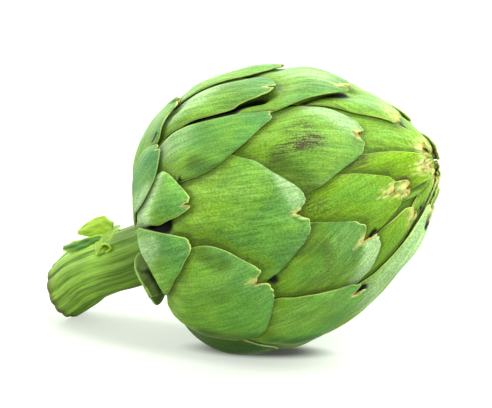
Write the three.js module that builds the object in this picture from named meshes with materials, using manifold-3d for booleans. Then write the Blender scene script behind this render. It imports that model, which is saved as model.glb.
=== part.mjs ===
// Globe artichoke lying on its side: a round head of overlapping bracts on a cut, ribbed stem.
// Millimetres, +Z up. The head points along +X with its tip raised. It rests on a small flat spot
// under the head and on the low edge of the cut stem.
// Every bract is laid out on the head as a leaf outline (along = distance from its tip, across =
// distance from its middle line), then pushed inwards until it clears the bracts that lie on it.

import * as THREE from 'three';
import { mergeVertices } from 'three/addons/utils/BufferGeometryUtils.js';
import Module from 'manifold-3d';

const wasm = await Module();
wasm.setup();

// ---- Driving dimensions -----------------------------------------------------------------------

const HEAD_PLACE = new THREE.Vector3(14.1, 0, 49.3); // head centre; its height sets the flat spot
const HEAD_TILT = 21.8; // degrees, axis of the head's outline over the ground
const LEAF_TILT = 18.6; // degrees, axis that the bracts close up on
// Head radius by the angle from its tip: round + length.cos + oval.cos2 + egg.cos3 + square.cos4
const HEAD = { round: 50, length: 4, oval: 0.2, egg: 3.4, square: -1, point: 8, pointSpread: 0.35 };
// Soft swellings and hollows: direction (as tips and roots below), size in degrees and rise in mm.
const SWELLINGS = [
  { at: [56, -10], size: 16, rise: 1.8 }, { at: [45, 171], size: 15, rise: -1.5 },
  { at: [132, 20], size: 17, rise: -1.2 }, { at: [137, 124], size: 10, rise: -0.7 },
  { at: [113, 2], size: 7, rise: -1.6 }, { at: [142, 49], size: 6, rise: -1.2 },
  { at: [12, 185], size: 14, rise: -2 }, { at: [108, 156], size: 14, rise: -1.5 },
  { at: [78, -12], size: 12, rise: 1.8 }, { at: [10, 15], size: 12, rise: -1.2 },
];
const LAY_RADIUS = 48; // one radius turns angles on the head into lengths along a bract

const BRACT_EDGE = 0.9; // thickness at the margin
const BRACT_MIDDLE = 1.7; // thickness along the middle
const BRACT_GAP = 0.95; // clearance between one bract and the next
const EASE_OUT = { least: 1.5, share: 0.45 }; // how far beside a bract the next one comes back up:
// a least distance and a share of the upper bract's half-width
const EDGE_ROOM = 1.5; // margin kept covered round a bract's outline
const BULGE = 0.045; // swell of a bract's bare part between its margins, by its half-width
const ROW_STEP = 10.5; // length of one row of facets
const FAIRING = 2; // passes that even out the dips of a bract, always inwards
const NICK_SPREAD = 0.32; // half-width of the tip's notch, by the tip's half-width
const NICK_SHARP = 1.3; // 1 cuts a straight V, more a rounder one
const NARROW = 12.5; // a bract whose half-width is under this has fewer facets across
const SEED = 11;

const STEM_PATH = [
  [-22, 0, -7], [-38, 0, -14.5], [-51, 0.5, -20.6], [-60, 2, -23.9], [-69, 5.5, -28.8],
  [-75.8, 9.5, -34.7], [-81, 13, -38.8], [-89.5, 19, -45.5],
]; // centre line, from the head centre
const STEM_RADIUS = 10.7;
const STEM_RIBS = 14;
const RIB_HEIGHT = 0.45;
const STEM_STEPS = 9;
const CUT_POINT = new THREE.Vector3(-81, 13, -38.8);
const CUT_NORMAL = new THREE.Vector3(-0.918, 0.326, -0.226).normalize();

const BUD_SPLIT = -25; // along the leaf axis: the stem's tissue behind it, the inner bud before it
const SPLIT_GAP = 0.4;
const CORE_GAP = 1.3;
const CORE_DEPTH = 2.5; // the innermost leaves stand this far out of the bud's core
const BUD_LEAVES = { count: 8, tip: 4, root: 42, half: 6.5, sunk: 6 };

// Torn leaf left on the stem. Each blade is a line with its half-width, the way across it and how
// far its edges curl up, from the head centre.
const LEAF_THICKNESS = 1.1;
const LEAF_GAP = 0.35;
const LEAF_BLADES = [
  {
    line: [[-60.2, 5.4, -11.4], [-60, -0.3, -12.3], [-59.4, -5, -14.4], [-59.3, -8.3, -17.4]],
    half: [2.5, 3.6, 3, 1.5], across: [0.9, 0.2, 0.35], cup: -0.3,
  },
  {
    line: [[-58.6, 1.5, -11.4], [-63, 1.5, -9.8], [-68.3, 2.1, -10.9], [-73.2, 3.6, -13.3]],
    half: [2.6, 3.2, 2.4, 0.7], across: [0, 0.45, 0.9], cup: 0.8,
  },
  {
    line: [[-59.5, -3, -14.6], [-63.8, -3.5, -15.3], [-68.2, -3.1, -16.6], [-73.6, -1, -18.3],
      [-78.6, 1.8, -19.8]],
    half: [2.4, 3, 3.1, 2.6, 0.7], across: [0, 0.45, 0.9], cup: 1.4,
  },
  {
    line: [[-61, -5.4, -16], [-60.3, -5.8, -14.4], [-58.5, -6.2, -13.7], [-56.7, -6.6, -14.2],
      [-56.2, -6.8, -15.6], [-57.4, -6.6, -16.8], [-58.8, -6.3, -17.3]],
    half: [2, 2.2, 2.2, 2.2, 2.2, 2.2, 2], across: [0.2, -0.9, 0.2], cup: 0,
  },
];

// ---- Bracts -----------------------------------------------------------------------------------
// tip and root: degrees from the bud's tip and degrees round the head, 0 on top, 90 in front,
// 180 below. half: half-widths towards the lower and the higher turn, mm. wide: where it is
// widest, tip 0 to root 1. full: how soon it widens. blunt: width of the tip. corner: rounding of the
// tip, by its half-width. nick: depth of the notch, mm. over: degrees that a bract is laid before
// its turn, so that it covers those round it.

const PLAIN = {
  half: [14, 14], wide: 0.45, full: 2, blunt: 0.28, corner: 0.43, nick: 2, nickAt: 0, neck: 0.4,
  lift: 0, liftFrom: 0.35, over: 0,
};

const BASE_BRACTS = [
  { tip: [103, 68.5], root: [152, 59], half: [12.2, 4.2], wide: 0.3, full: 2.4, blunt: 0.4,
    corner: 0.57, nick: 2, nickAt: 0.08, neck: 0.45 },
  { tip: [107.3, 83], root: [152, 91], half: [10.2, 13.6], wide: 0.7, full: 1.7, blunt: 0.2,
    nick: 0.6 },
  { tip: [113.4, 40], root: [150, 58], half: [7.6, 10.6], wide: 0.4, full: 1.8, blunt: 0.24,
    corner: 0.26, nick: 0.8, neck: 0.3 },
  { tip: [106.7, 13], root: [152, 13], half: [11.7, 17], wide: 0.28, full: 2.5, blunt: 0.27,
    corner: 0.5, nick: 0.6, lift: 1 },
  { tip: [137, 101], root: [161, 104], half: [8, 8], blunt: 0.5, nick: 0.5, lift: 4,
    liftFrom: 0.9 },
  { tip: [146.5, 118], root: [163, 118], half: [10, 8], blunt: 0.7, corner: 0.3, nick: 0.5,
    lift: 4, liftFrom: 0.9 },
];
const LOWER_BRACTS = [
  { tip: [84, 106], root: [152, 119], half: [18.9, 19.6], wide: 0.28, full: 2.2, blunt: 0.48,
    corner: 0.36, nick: 3.8, nickAt: -0.16, neck: 0.3 },
  { tip: [97, 150], root: [152, 142], half: [16, 16], over: -15 },
];
const MIDDLE_BRACTS = [
  { tip: [66.5, 19.7], root: [150, 15], half: [22.6, 12.2], wide: 0.56, full: 2.2, blunt: 0.27,
    corner: 0.29, nick: 2.3, nickAt: 0.22 },
  { tip: [67, 36], root: [150, 44], half: [3, 17.4], wide: 0.37, full: 1.6, corner: 0.7, nick: 1,
    nickAt: 0.19, neck: 0.3 },
  { tip: [68, -10], root: [150, -14], half: [15, 15], lift: 1, liftFrom: 0.6 },
  { tip: [60.3, 85], root: [150, 69], half: [24.2, 22.9], wide: 0.37, full: 2.2, blunt: 0.53,
    corner: 0.59, nick: 3.8, nickAt: -0.06 },
  { tip: [52.5, 136.3], root: [150, 142], half: [21.2, 20], wide: 0.6, full: 2.2, blunt: 0.3,
    corner: 0.7, nick: 3.7, nickAt: -0.05 },
];
const UPPER_BRACTS = [
  { tip: [39.1, 6.7], root: [140, 17], half: [19.3, 21.9], wide: 0.41, full: 1.6, blunt: 0.25,
    nick: 3.3, nickAt: 0.32, lift: 0.6 },
  { tip: [33.9, 49], root: [140, 47], half: [12.2, 21.5], wide: 0.28, full: 2.4, blunt: 0.51,
    corner: 0.67 },
  { tip: [39.7, 108], root: [140, 142], half: [26.8, 13.3], wide: 0.28, full: 1.8, blunt: 0.41,
    corner: 0.35, nick: 3.8, nickAt: -0.14 },
];
const TIP_BRACTS = [
  { tip: [25.5, 92.7], root: [130, 100], half: [20.3, 12.1], wide: 0.42, full: 2.1, corner: 0.25,
    nick: 2.2, nickAt: -0.22 },
  { tip: [21, 118], root: [130, 143], half: [12.1, 6.3], wide: 0.47, blunt: 0.36, corner: 0.63 },
  { tip: [14, 148], root: [125, 153], half: [12.9, 13], wide: 0.53, full: 1.3, blunt: 0.36,
    corner: 0.25, nick: 1, over: 8 },
  { tip: [19.4, 13.3], root: [125, 4], half: [14.4, 15.2], blunt: 0.34, corner: 0.25, nick: 1.7,
    nickAt: 0.17 },
  { tip: [20, 93], root: [120, 97], half: [9.5, 7.6], blunt: 0.24, nick: 1 },
  { tip: [10.5, 77], root: [120, 81], half: [11.3, 11], full: 1.8, blunt: 0.32, nick: 1 },
  { tip: [9, 42], root: [120, 46], half: [11, 11], nick: 1 },
];

// Rings of bracts round the rest of the head: evenly spread, with a small seeded scatter.
const RINGS = {
  base: { count: 6, from: 182, to: 340, tip: 106, root: 154, half: 12.5, nick: 0.6, lift: 0.4 },
  lower: { count: 4, from: 204, to: 318, tip: 86, root: 151, half: 19, nick: 1.5, lift: 0.4 },
  middle: { count: 4, from: 200, to: 314, tip: 62, root: 150, half: 20, nick: 3, lift: 0.3 },
  upper: { count: 5, from: 186, to: 322, tip: 37, root: 140, half: 17, nick: 2.5, lift: 0.2 },
  tip: { count: 6, from: 184, to: 322, tip: 20, root: 125, half: 12, nick: 1.2, lift: 0 },
  crown: { count: 4, from: 166, to: 288, tip: 7, root: 115, half: 10, nick: 0.8, lift: 0 },
};
const TIP_SCATTER = 3;
const TURN_SCATTER = 5;
const WIDTH_SCATTER = 0.1;

const GREEN = {
  base: 0x9dbb62, lower: 0x86ad58, middle: 0x82ab56, upper: 0x93b552, tip: 0xa4bf5a, crown: 0xb1c567,
  stem: 0x8fae45, leaf: 0x8cc63f,
};

// ---- Directions on the head ---------------------------------------------------------------------

const radians = (degrees) => (degrees * Math.PI) / 180;
const clamp = THREE.MathUtils.clamp;
const smooth = (low, high, value) => THREE.MathUtils.smoothstep(value, low, high);

const headAxis = new THREE.Vector3(Math.cos(radians(HEAD_TILT)), 0, Math.sin(radians(HEAD_TILT)));
const leafAxis = new THREE.Vector3(Math.cos(radians(LEAF_TILT)), 0, Math.sin(radians(LEAF_TILT)));
const leafUp = new THREE.Vector3(-leafAxis.z, 0, leafAxis.x);
const leafFront = new THREE.Vector3(0, -1, 0);

function headDirection(angle, turn) {
  return new THREE.Vector3()
    .addScaledVector(leafAxis, Math.cos(angle))
    .addScaledVector(leafUp, Math.sin(angle) * Math.cos(turn))
    .addScaledVector(leafFront, Math.sin(angle) * Math.sin(turn));
}

// Distance from the head centre to the ground.
function groundRadius(direction) {
  return direction.z < 0 ? HEAD_PLACE.z / -direction.z : Infinity;
}

// Outer radius of the head, pressed flat where it meets the ground.
function headRadius(direction) {
  const angle = Math.acos(clamp(direction.dot(headAxis), -1, 1));
  const fromPoint = Math.acos(clamp(direction.dot(leafAxis), -1, 1));
  const round = HEAD.round + HEAD.length * Math.cos(angle) + HEAD.oval * Math.cos(2 * angle)
    + HEAD.egg * Math.cos(3 * angle) + HEAD.square * Math.cos(4 * angle)
    + HEAD.point * Math.exp(-((fromPoint / HEAD.pointSpread) ** 2));
  const swelling = SWELLINGS.reduce((sum, { at, size, rise }) => {
    const away = direction.angleTo(headDirection(radians(at[0]), radians(at[1])));
    return sum + rise * Math.exp(-((away / radians(size)) ** 2));
  }, 0);
  return Math.min(round + swelling, groundRadius(direction));
}

// ---- One bract ------------------------------------------------------------------------------------

class Bract {
  constructor(spec) {
    Object.assign(this, PLAIN, spec);
    const [tip, root] = [this.tip, this.root].map(([angle, turn]) =>
      headDirection(radians(angle), radians(turn)));
    this.broadest = Math.max(...this.half);
    this.ease = EASE_OUT.least + EASE_OUT.share * this.broadest;
    this.tipward = tip;
    this.length = tip.angleTo(root) * LAY_RADIUS;
    this.rootward = root.clone().addScaledVector(tip, -root.dot(tip)).normalize();
    this.sideways = new THREE.Vector3().crossVectors(this.tipward, this.rootward);
    const onward = headDirection(radians(this.tip[0]), radians(this.tip[1] + 5));
    if (this.sideways.dot(onward) < 0) this.sideways.negate();
  }

  halfWidth(t, u) {
    const rise = 1 - (1 - clamp(t / this.wide, 0, 1)) ** this.full;
    const fall = smooth(this.wide, 1, t);
    return this.half[u < 0 ? 0 : 1] * (this.blunt + (1 - this.blunt) * rise)
      * (1 - (1 - this.neck) * fall);
  }

  // How far the tip's outline stands back from its foremost point.
  tipEdge(u) {
    const rounding = this.corner * this.halfWidth(0, u) * Math.abs(u) ** 3;
    const inside = Math.max(1 - Math.abs(u - this.nickAt) / NICK_SPREAD, 0);
    return rounding + this.nick * inside ** NICK_SHARP;
  }

  // t runs from the tip, 0, to the root, 1, and u across from -1 to 1.
  direction(t, u) {
    const along = (t * this.length + this.tipEdge(u) * (1 - t) ** 3) / LAY_RADIUS;
    const across = (u * this.halfWidth(t, u)) / LAY_RADIUS;
    return new THREE.Vector3()
      .addScaledVector(this.tipward, Math.cos(across) * Math.cos(along))
      .addScaledVector(this.rootward, Math.cos(across) * Math.sin(along))
      .addScaledVector(this.sideways, Math.sin(across));
  }

  // The place (t, u) under a direction, and how far outside the outline it is, in mm.
  locate(direction) {
    const across = Math.asin(clamp(direction.dot(this.sideways), -1, 1)) * LAY_RADIUS;
    const along = Math.atan2(direction.dot(this.rootward), direction.dot(this.tipward)) * LAY_RADIUS;
    let t = clamp(along / this.length, 0, 1);
    let u = 0;
    for (let pass = 0; pass < 3; pass += 1) {
      u = clamp(across / this.halfWidth(t, across), -1, 1);
      t = clamp((along - this.tipEdge(u) * (1 - t) ** 3) / this.length, 0, 1);
    }
    const beside = Math.max(Math.abs(across) - this.halfWidth(t, across), 0);
    const before = Math.max(this.tipEdge(u) - along, along - this.length, 0);
    return { t, u, outside: Math.hypot(beside, before) };
  }

  thickness(t, u) {
    return BRACT_EDGE + (BRACT_MIDDLE - BRACT_EDGE) * (1 - u * u) * smooth(0, 0.2, t);
  }

  // Depth of the outer face, read between the rows and columns that it was worked out on.
  depthAt(t, u) {
    const [row, rowPart] = between(this.rows, t);
    const [column, columnPart] = between(this.columns, u);
    const mix = THREE.MathUtils.lerp;
    return mix(
      mix(this.depth[row][column], this.depth[row][column + 1], columnPart),
      mix(this.depth[row + 1][column], this.depth[row + 1][column + 1], columnPart),
      rowPart,
    );
  }
}

function between(stations, value) {
  let index = 0;
  while (index < stations.length - 2 && value > stations[index + 1]) index += 1;
  const part = (value - stations[index]) / (stations[index + 1] - stations[index]);
  return [index, clamp(part, 0, 1)];
}

// ---- Layers ---------------------------------------------------------------------------------------

// Depth that clears every bract in `above`, and how bare the place is (1 = nothing lies on it).
function cover(direction, above, gap) {
  const power = 8;
  let sum = 0;
  let bare = 1;
  for (const bract of above) {
    const place = bract.locate(direction);
    if (place.outside > EDGE_ROOM + bract.ease) continue;
    const hold = 1 - smooth(EDGE_ROOM, EDGE_ROOM + bract.ease, place.outside);
    const inner = bract.depthAt(place.t, place.u) + bract.thickness(place.t, place.u) + gap;
    sum += Math.max(inner * hold, 0) ** power;
    bare = Math.min(bare, 1 - hold);
  }
  return { depth: sum ** (1 / power), bare };
}

// The entries of a grid round one of its places, the place itself among them.
function around(grid, row, column) {
  return [-1, 0, 1].flatMap((down) => [-1, 0, 1].map((right) => grid[row + down]?.[column + right]))
    .filter((entry) => entry !== undefined);
}

// The deepest cover found at a direction and halfway to its neighbours.
function deepestCover(direction, neighbours, above, gap) {
  const here = cover(direction, above, gap);
  const depths = neighbours.map((neighbour) =>
    cover(direction.clone().lerp(neighbour, 0.5).normalize(), above, gap).depth);
  return { depth: Math.max(here.depth, ...depths), bare: here.bare };
}

function layBract(bract, above) {
  const rowCount = Math.max(4, Math.ceil(bract.length / ROW_STEP));
  bract.rows = Array.from({ length: rowCount + 1 }, (_, index) => (index / rowCount) ** 1.15);
  const [left, right] = [bract.nickAt - NICK_SPREAD, bract.nickAt + NICK_SPREAD];
  bract.columns = bract.broadest < NARROW ? [-1, left, bract.nickAt, right, 1]
    : [-1, (left - 1) / 2, left, bract.nickAt, right, (right + 1) / 2, 1];
  const nodes = bract.rows.map((t) => bract.columns.map((u) => bract.direction(t, u)));
  bract.depth = bract.rows.map((t, row) => bract.columns.map((u, column) => {
    const direction = nodes[row][column];
    const { depth, bare } = deepestCover(direction, around(nodes, row, column), above, BRACT_GAP);
    const swell = BULGE * bract.broadest * bare * (1 - u * u) * smooth(0, 0.15, t);
    const lifted = bract.lift * bare * (1 - smooth(0, bract.liftFrom, t));
    return Math.max(depth - swell - lifted, headRadius(direction) - groundRadius(direction));
  }));
  for (let pass = 0; pass < FAIRING; pass += 1) {
    bract.depth = bract.depth.map((line, row) => line.map((depth, column) => {
      const beside = around(bract.depth, row, column);
      const mean = beside.reduce((sum, value) => sum + value, 0) / beside.length;
      return Math.max(depth, mean);
    }));
  }
}

// ---- Meshes -----------------------------------------------------------------------------------------

// A closed blade between two grids of points. Its squares are split away from the middle line,
// alike on both faces.
function bladeGeometry(outer, inner) {
  const rowCount = outer.length;
  const columnCount = outer[0].length;
  const points = [...outer.flat(), ...inner.flat()];
  const top = (row, column) => row * columnCount + column;
  const under = (row, column) => rowCount * columnCount + top(row, column);
  const lastRow = rowCount - 1;
  const lastColumn = columnCount - 1;
  const triangles = [];
  const quad = (a, b, c, d) => triangles.push(a, b, c, a, c, d);
  const square = (at, row, column) => {
    const corners = [at(row, column), at(row + 1, column), at(row + 1, column + 1),
      at(row, column + 1)];
    return column < lastColumn / 2 ? corners : [...corners.slice(1), corners[0]];
  };
  for (let row = 0; row < lastRow; row += 1) {
    for (let column = 0; column < lastColumn; column += 1) {
      const [a, b, c, d] = square(under, row, column);
      quad(...square(top, row, column));
      quad(c, b, a, d);
    }
    quad(top(row, 0), under(row, 0), under(row + 1, 0), top(row + 1, 0));
    quad(top(row, lastColumn), top(row + 1, lastColumn), under(row + 1, lastColumn),
      under(row, lastColumn));
  }
  for (let column = 0; column < lastColumn; column += 1) {
    quad(top(0, column), top(0, column + 1), under(0, column + 1), under(0, column));
    quad(top(lastRow, column), under(lastRow, column), under(lastRow, column + 1),
      top(lastRow, column + 1));
  }
  const geometry = new THREE.BufferGeometry().setFromPoints(points);
  geometry.setIndex(triangles);
  return signedVolume(geometry) < 0 ? flipped(geometry) : geometry;
}

function signedVolume(geometry) {
  const position = geometry.getAttribute('position');
  const index = geometry.getIndex();
  const [a, b, c] = [0, 1, 2].map(() => new THREE.Vector3());
  let volume = 0;
  for (let start = 0; start < index.count; start += 3) {
    a.fromBufferAttribute(position, index.getX(start));
    b.fromBufferAttribute(position, index.getX(start + 1));
    c.fromBufferAttribute(position, index.getX(start + 2));
    volume += a.dot(b.cross(c)) / 6;
  }
  return volume;
}

function flipped(geometry) {
  const index = Array.from(geometry.getIndex().array);
  for (let start = 0; start < index.length; start += 3) {
    [index[start + 1], index[start + 2]] = [index[start + 2], index[start + 1]];
  }
  geometry.setIndex(index);
  return geometry;
}

function bractGeometry(bract, extra = 0) {
  const face = (inwards) => bract.rows.map((t, row) => bract.columns.map((u, column) => {
    const direction = bract.direction(t, u);
    const depth = bract.depth[row][column] + (inwards ? bract.thickness(t, u) + extra : 0);
    return direction.multiplyScalar(headRadius(direction) - depth);
  }));
  return bladeGeometry(face(false), face(true));
}

// ---- Solids that are joined or cut --------------------------------------------------------------------

function toSolid(geometry) {
  const bare = geometry.clone();
  bare.deleteAttribute('normal');
  bare.deleteAttribute('uv');
  const merged = mergeVertices(bare, 1e-4);
  return new wasm.Manifold(new wasm.Mesh({
    numProp: 3,
    vertProperties: Float32Array.from(merged.getAttribute('position').array),
    triVerts: Uint32Array.from(merged.getIndex().array),
  }));
}

function fromSolid(solid) {
  const mesh = solid.getMesh();
  const geometry = new THREE.BufferGeometry();
  geometry.setAttribute('position', new THREE.BufferAttribute(mesh.vertProperties, 3));
  geometry.setIndex(Array.from(mesh.triVerts));
  return geometry;
}

// A block that fills the side of a plane its normal points to.
function halfSpace(point, normal) {
  const size = 400;
  const block = new THREE.BoxGeometry(size, size, size).translate(size / 2, 0, 0);
  const turn = new THREE.Quaternion().setFromUnitVectors(new THREE.Vector3(1, 0, 0), normal);
  block.applyQuaternion(turn).translate(point.x, point.y, point.z);
  return toSolid(block);
}

// The tissue inside the bracts: a closed ball that lies snugly under all of them.
function coreGeometry(bracts) {
  const [rings, spokes] = [15, 24];
  const points = [];
  const place = (angle, turn) => {
    const direction = headDirection(angle, turn);
    const neighbours = [-1, 0, 1].flatMap((down) => [-1, 0, 1].map((right) =>
      headDirection(angle + (down * Math.PI) / rings, turn + (right * 2 * Math.PI) / spokes)));
    const { depth } = deepestCover(direction, neighbours, bracts, CORE_GAP);
    return direction.multiplyScalar(headRadius(direction) - Math.max(depth, CORE_DEPTH));
  };
  points.push(place(0, 0));
  for (let ring = 1; ring < rings; ring += 1) {
    for (let spoke = 0; spoke < spokes; spoke += 1) {
      points.push(place((ring / rings) * Math.PI, (spoke / spokes) * 2 * Math.PI));
    }
  }
  points.push(place(Math.PI, 0));
  const at = (ring, spoke) => 1 + (ring - 1) * spokes + (spoke % spokes);
  const triangles = [];
  for (let spoke = 0; spoke < spokes; spoke += 1) {
    triangles.push(0, at(1, spoke), at(1, spoke + 1));
    triangles.push(points.length - 1, at(rings - 1, spoke + 1), at(rings - 1, spoke));
    for (let ring = 1; ring < rings - 1; ring += 1) {
      const corners = [at(ring, spoke), at(ring + 1, spoke), at(ring + 1, spoke + 1),
        at(ring, spoke + 1)];
      triangles.push(corners[0], corners[1], corners[2], corners[0], corners[2], corners[3]);
    }
  }
  const geometry = new THREE.BufferGeometry().setFromPoints(points);
  geometry.setIndex(triangles);
  return signedVolume(geometry) < 0 ? flipped(geometry) : geometry;
}

// ---- Bracts of the head -------------------------------------------------------------------------

function seededRandom(seed) {
  let state = seed;
  return () => {
    state = (state * 1664525 + 1013904223) % 4294967296;
    return (state / 4294967296) * 2 - 1;
  };
}

function ringBracts(ring, random) {
  return Array.from({ length: ring.count }, (_, index) => {
    const turn = THREE.MathUtils.lerp(ring.from, ring.to, index / (ring.count - 1))
      + TURN_SCATTER * random();
    const width = ring.half * (1 + WIDTH_SCATTER * random());
    return {
      tip: [ring.tip + TIP_SCATTER * random(), turn],
      root: [ring.root, turn + TURN_SCATTER * random()],
      half: [width, width * (1 + WIDTH_SCATTER * random())],
      full: 2.1 + 0.4 * random(),
      nick: ring.nick,
      nickAt: 0.2 * random(),
      lift: ring.lift,
    };
  });
}

function headBracts() {
  const random = seededRandom(SEED);
  const byHand = {
    base: BASE_BRACTS, lower: LOWER_BRACTS, middle: MIDDLE_BRACTS, upper: UPPER_BRACTS,
    tip: TIP_BRACTS, crown: [],
  };
  const bracts = Object.entries(RINGS).flatMap(([name, ring]) =>
    [...byHand[name], ...ringBracts(ring, random)].map((spec, index) =>
      new Bract({ ...spec, ring: name, name: `${name}_bract_${index + 1}` })));
  bracts.sort((a, b) => b.tip[0] + b.over - a.tip[0] - a.over); // the outermost first
  bracts.forEach((bract, index) => layBract(bract, bracts.slice(0, index)));
  return bracts;
}

// ---- Inner bud, stem and torn leaf ------------------------------------------------------------------

function budLeaves(bracts) {
  const { count, tip, root, half, sunk } = BUD_LEAVES;
  const laid = [...bracts];
  return Array.from({ length: count }, (_, index) => {
    const turn = (index * 360 * 3) / count;
    const leaf = new Bract({
      tip: [tip + (index % 2), turn], root: [root, turn], half: [half, half], blunt: 0.2, nick: 0.5,
    });
    layBract(leaf, laid);
    laid.push(leaf);
    return toSolid(bractGeometry(leaf, sunk));
  });
}

function stemTube(radius, ribHeight) {
  const points = 2 * STEM_RIBS;
  const section = new THREE.Shape(Array.from({ length: points }, (_, index) => {
    const angle = (index / points) * 2 * Math.PI;
    const reach = radius + (index % 2 === 0 ? ribHeight : -ribHeight);
    return new THREE.Vector2(reach * Math.cos(angle), reach * Math.sin(angle));
  }));
  const curve = new THREE.CatmullRomCurve3(STEM_PATH.map((point) => new THREE.Vector3(...point)));
  return toSolid(new THREE.ExtrudeGeometry(section, { steps: STEM_STEPS, extrudePath: curve }));
}

function leafBlade({ line, half, across, cup }) {
  const curve = new THREE.CatmullRomCurve3(line.map((point) => new THREE.Vector3(...point)));
  const stations = line.length + 1;
  const side = new THREE.Vector3(...across).normalize();
  const grid = (raise) => Array.from({ length: stations + 1 }, (_, index) => {
    const part = index / stations;
    const [from, blend] = between(line.map((_, place) => place / (line.length - 1)), part);
    const width = THREE.MathUtils.lerp(half[from], half[from + 1], blend);
    const normal = new THREE.Vector3().crossVectors(curve.getTangent(part), side).normalize();
    return [-1, -0.5, 0, 0.5, 1].map((u) => curve.getPoint(part)
      .addScaledVector(side, width * u)
      .addScaledVector(normal, cup * u * u * (width / Math.max(...half)) + raise));
  });
  return toSolid(bladeGeometry(grid(0), grid(LEAF_THICKNESS)));
}

function joined(solids) {
  return solids.reduce((whole, solid) => whole.add(solid));
}

// A solid with its sealed hollows filled and its loose scraps dropped.
function wholeBody(solid) {
  return solid.decompose().reduce((best, piece) => (piece.volume() > best.volume() ? piece : best));
}

// ---- The artichoke ------------------------------------------------------------------------------------

const head = new THREE.Group();
head.position.copy(HEAD_PLACE);

function addMesh(name, geometry, color) {
  const material = new THREE.MeshStandardMaterial({ color, roughness: 0.55, metalness: 0 });
  const mesh = new THREE.Mesh(geometry, material);
  mesh.name = name;
  head.add(mesh);
}

const bracts = headBracts();
for (const bract of bracts) addMesh(bract.name, bractGeometry(bract), GREEN[bract.ring]);

const core = toSolid(coreGeometry(bracts));
const splitBack = leafAxis.clone().multiplyScalar(BUD_SPLIT);
const splitFront = leafAxis.clone().multiplyScalar(BUD_SPLIT + SPLIT_GAP);
const aheadOfSplit = halfSpace(splitBack, leafAxis);
const behindSplit = halfSpace(splitFront, leafAxis.clone().negate());
const underGround = halfSpace(new THREE.Vector3(0, 0, -HEAD_PLACE.z), new THREE.Vector3(0, 0, -1));

const innerBud = wholeBody(joined([core, ...budLeaves(bracts)]).subtract(behindSplit));
const stem = core.add(stemTube(STEM_RADIUS, RIB_HEIGHT)).subtract(aheadOfSplit)
  .subtract(halfSpace(CUT_POINT, CUT_NORMAL))
  .subtract(underGround);
const stemLeaf = joined(LEAF_BLADES.map(leafBlade))
  .subtract(stemTube(STEM_RADIUS + LEAF_GAP, RIB_HEIGHT));

addMesh('inner_bud', fromSolid(innerBud), GREEN.crown);
addMesh('stem', fromSolid(stem), GREEN.stem);
addMesh('stem_leaf', fromSolid(stemLeaf), GREEN.leaf);

const artichoke = new THREE.Group();
artichoke.add(head);

export default artichoke;
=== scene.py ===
# Globe artichoke lying on its side: the finished look of its bracts, bud, stem and torn leaf.
# Lengths in the tables are millimetres, measured from the head centre. Every bract is laid out on the
# head as a leaf outline (along = distance from its tip, across = distance from its middle line) and
# then pushed inwards until it clears the bracts that lie on it.

import functools
import math

import bmesh
import bpy
import numpy as np
from bpy.props import FloatProperty, FloatVectorProperty, PointerProperty
from mathutils import Matrix, Vector


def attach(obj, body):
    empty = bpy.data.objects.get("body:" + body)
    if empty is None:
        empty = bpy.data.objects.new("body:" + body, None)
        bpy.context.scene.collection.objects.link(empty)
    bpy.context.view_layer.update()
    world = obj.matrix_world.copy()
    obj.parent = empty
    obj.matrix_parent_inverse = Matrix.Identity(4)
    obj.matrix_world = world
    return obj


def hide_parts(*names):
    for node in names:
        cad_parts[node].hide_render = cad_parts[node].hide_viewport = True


bl_info = {
    "name": "Globe artichoke",
    "version": (1, 0, 0),
    "blender": (4, 5, 0),
    "location": "3D View > Sidebar > Artichoke",
    "description": "Builds a globe artichoke lying on its side, with its stage",
    "category": "Object",
}

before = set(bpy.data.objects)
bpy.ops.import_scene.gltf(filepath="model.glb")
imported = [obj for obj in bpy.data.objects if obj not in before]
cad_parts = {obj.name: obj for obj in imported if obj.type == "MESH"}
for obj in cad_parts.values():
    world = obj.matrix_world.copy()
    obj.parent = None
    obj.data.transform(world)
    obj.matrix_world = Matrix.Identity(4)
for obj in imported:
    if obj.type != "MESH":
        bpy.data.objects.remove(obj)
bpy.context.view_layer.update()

MM = 0.001

# ---- Driving dimensions ----

HEAD_PLACE = np.array([14.1, 0.0, 49.3])  # head centre over the ground
HEAD_TILT = 21.8  # degrees, axis of the head's outline
LEAF_TILT = 18.6  # degrees, axis that the bracts close up on
# Head radius by the angle from its tip: round + length.cos + oval.cos2 + egg.cos3 + square.cos4
HEAD = {"round": 50, "length": 4, "oval": 0.2, "egg": 3.4, "square": -1, "point": 8, "spread": 0.35}
# Soft swellings and hollows: direction (as tips and roots below), size in degrees and rise in mm.
SWELLINGS = [
    ((56, -10), 16, 1.8), ((45, 171), 15, -1.5), ((132, 20), 17, -1.2), ((137, 124), 10, -0.7),
    ((113, 2), 7, -1.6), ((142, 49), 6, -1.2), ((12, 185), 14, -2), ((108, 156), 14, -1.5),
    ((78, -12), 12, 1.8), ((10, 15), 12, -1.2),
]
LAY_RADIUS = 48  # one radius turns angles on the head into lengths along a bract

EASE_OUT = {"least": 1.5, "share": 0.45}  # how far beside a bract the next one comes back up
EDGE_ROOM = 0.8  # margin kept covered round a bract's outline
LAYER_BLEND = 8  # how sharply the depths of two covering bracts meet
BULGE = 0.045  # swell of a bract's bare part between its margins, by its half-width
NICK_SPREAD = 0.32  # half-width of the tip's notch, by the tip's half-width
NICK_SHARP = 1.3  # 1 cuts a straight V, more a rounder one
CORNER_SHARP = 3  # 2 would round the tip's corners as a circle does, more leaves it flatter
TIP_FADE = 3  # how soon the tip's outline fades out along the bract
RIPPLE = {"waves": 7, "pitch": (1.2, 2.6)}  # pitch: by the size of a hump
WAVER = {"height": 0.22, "hump": 6, "apart": 50, "from": 0.1}  # unevenness of the long margins
TEARS = {"count": 5, "pitch": (1.6, 4.5), "phase": 6.3, "depth": 0.08, "dry_depth": 0.1,
         "far": 0.35, "reach": 0.4}  # of the tip's margin; far: what is left beyond their reach
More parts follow.
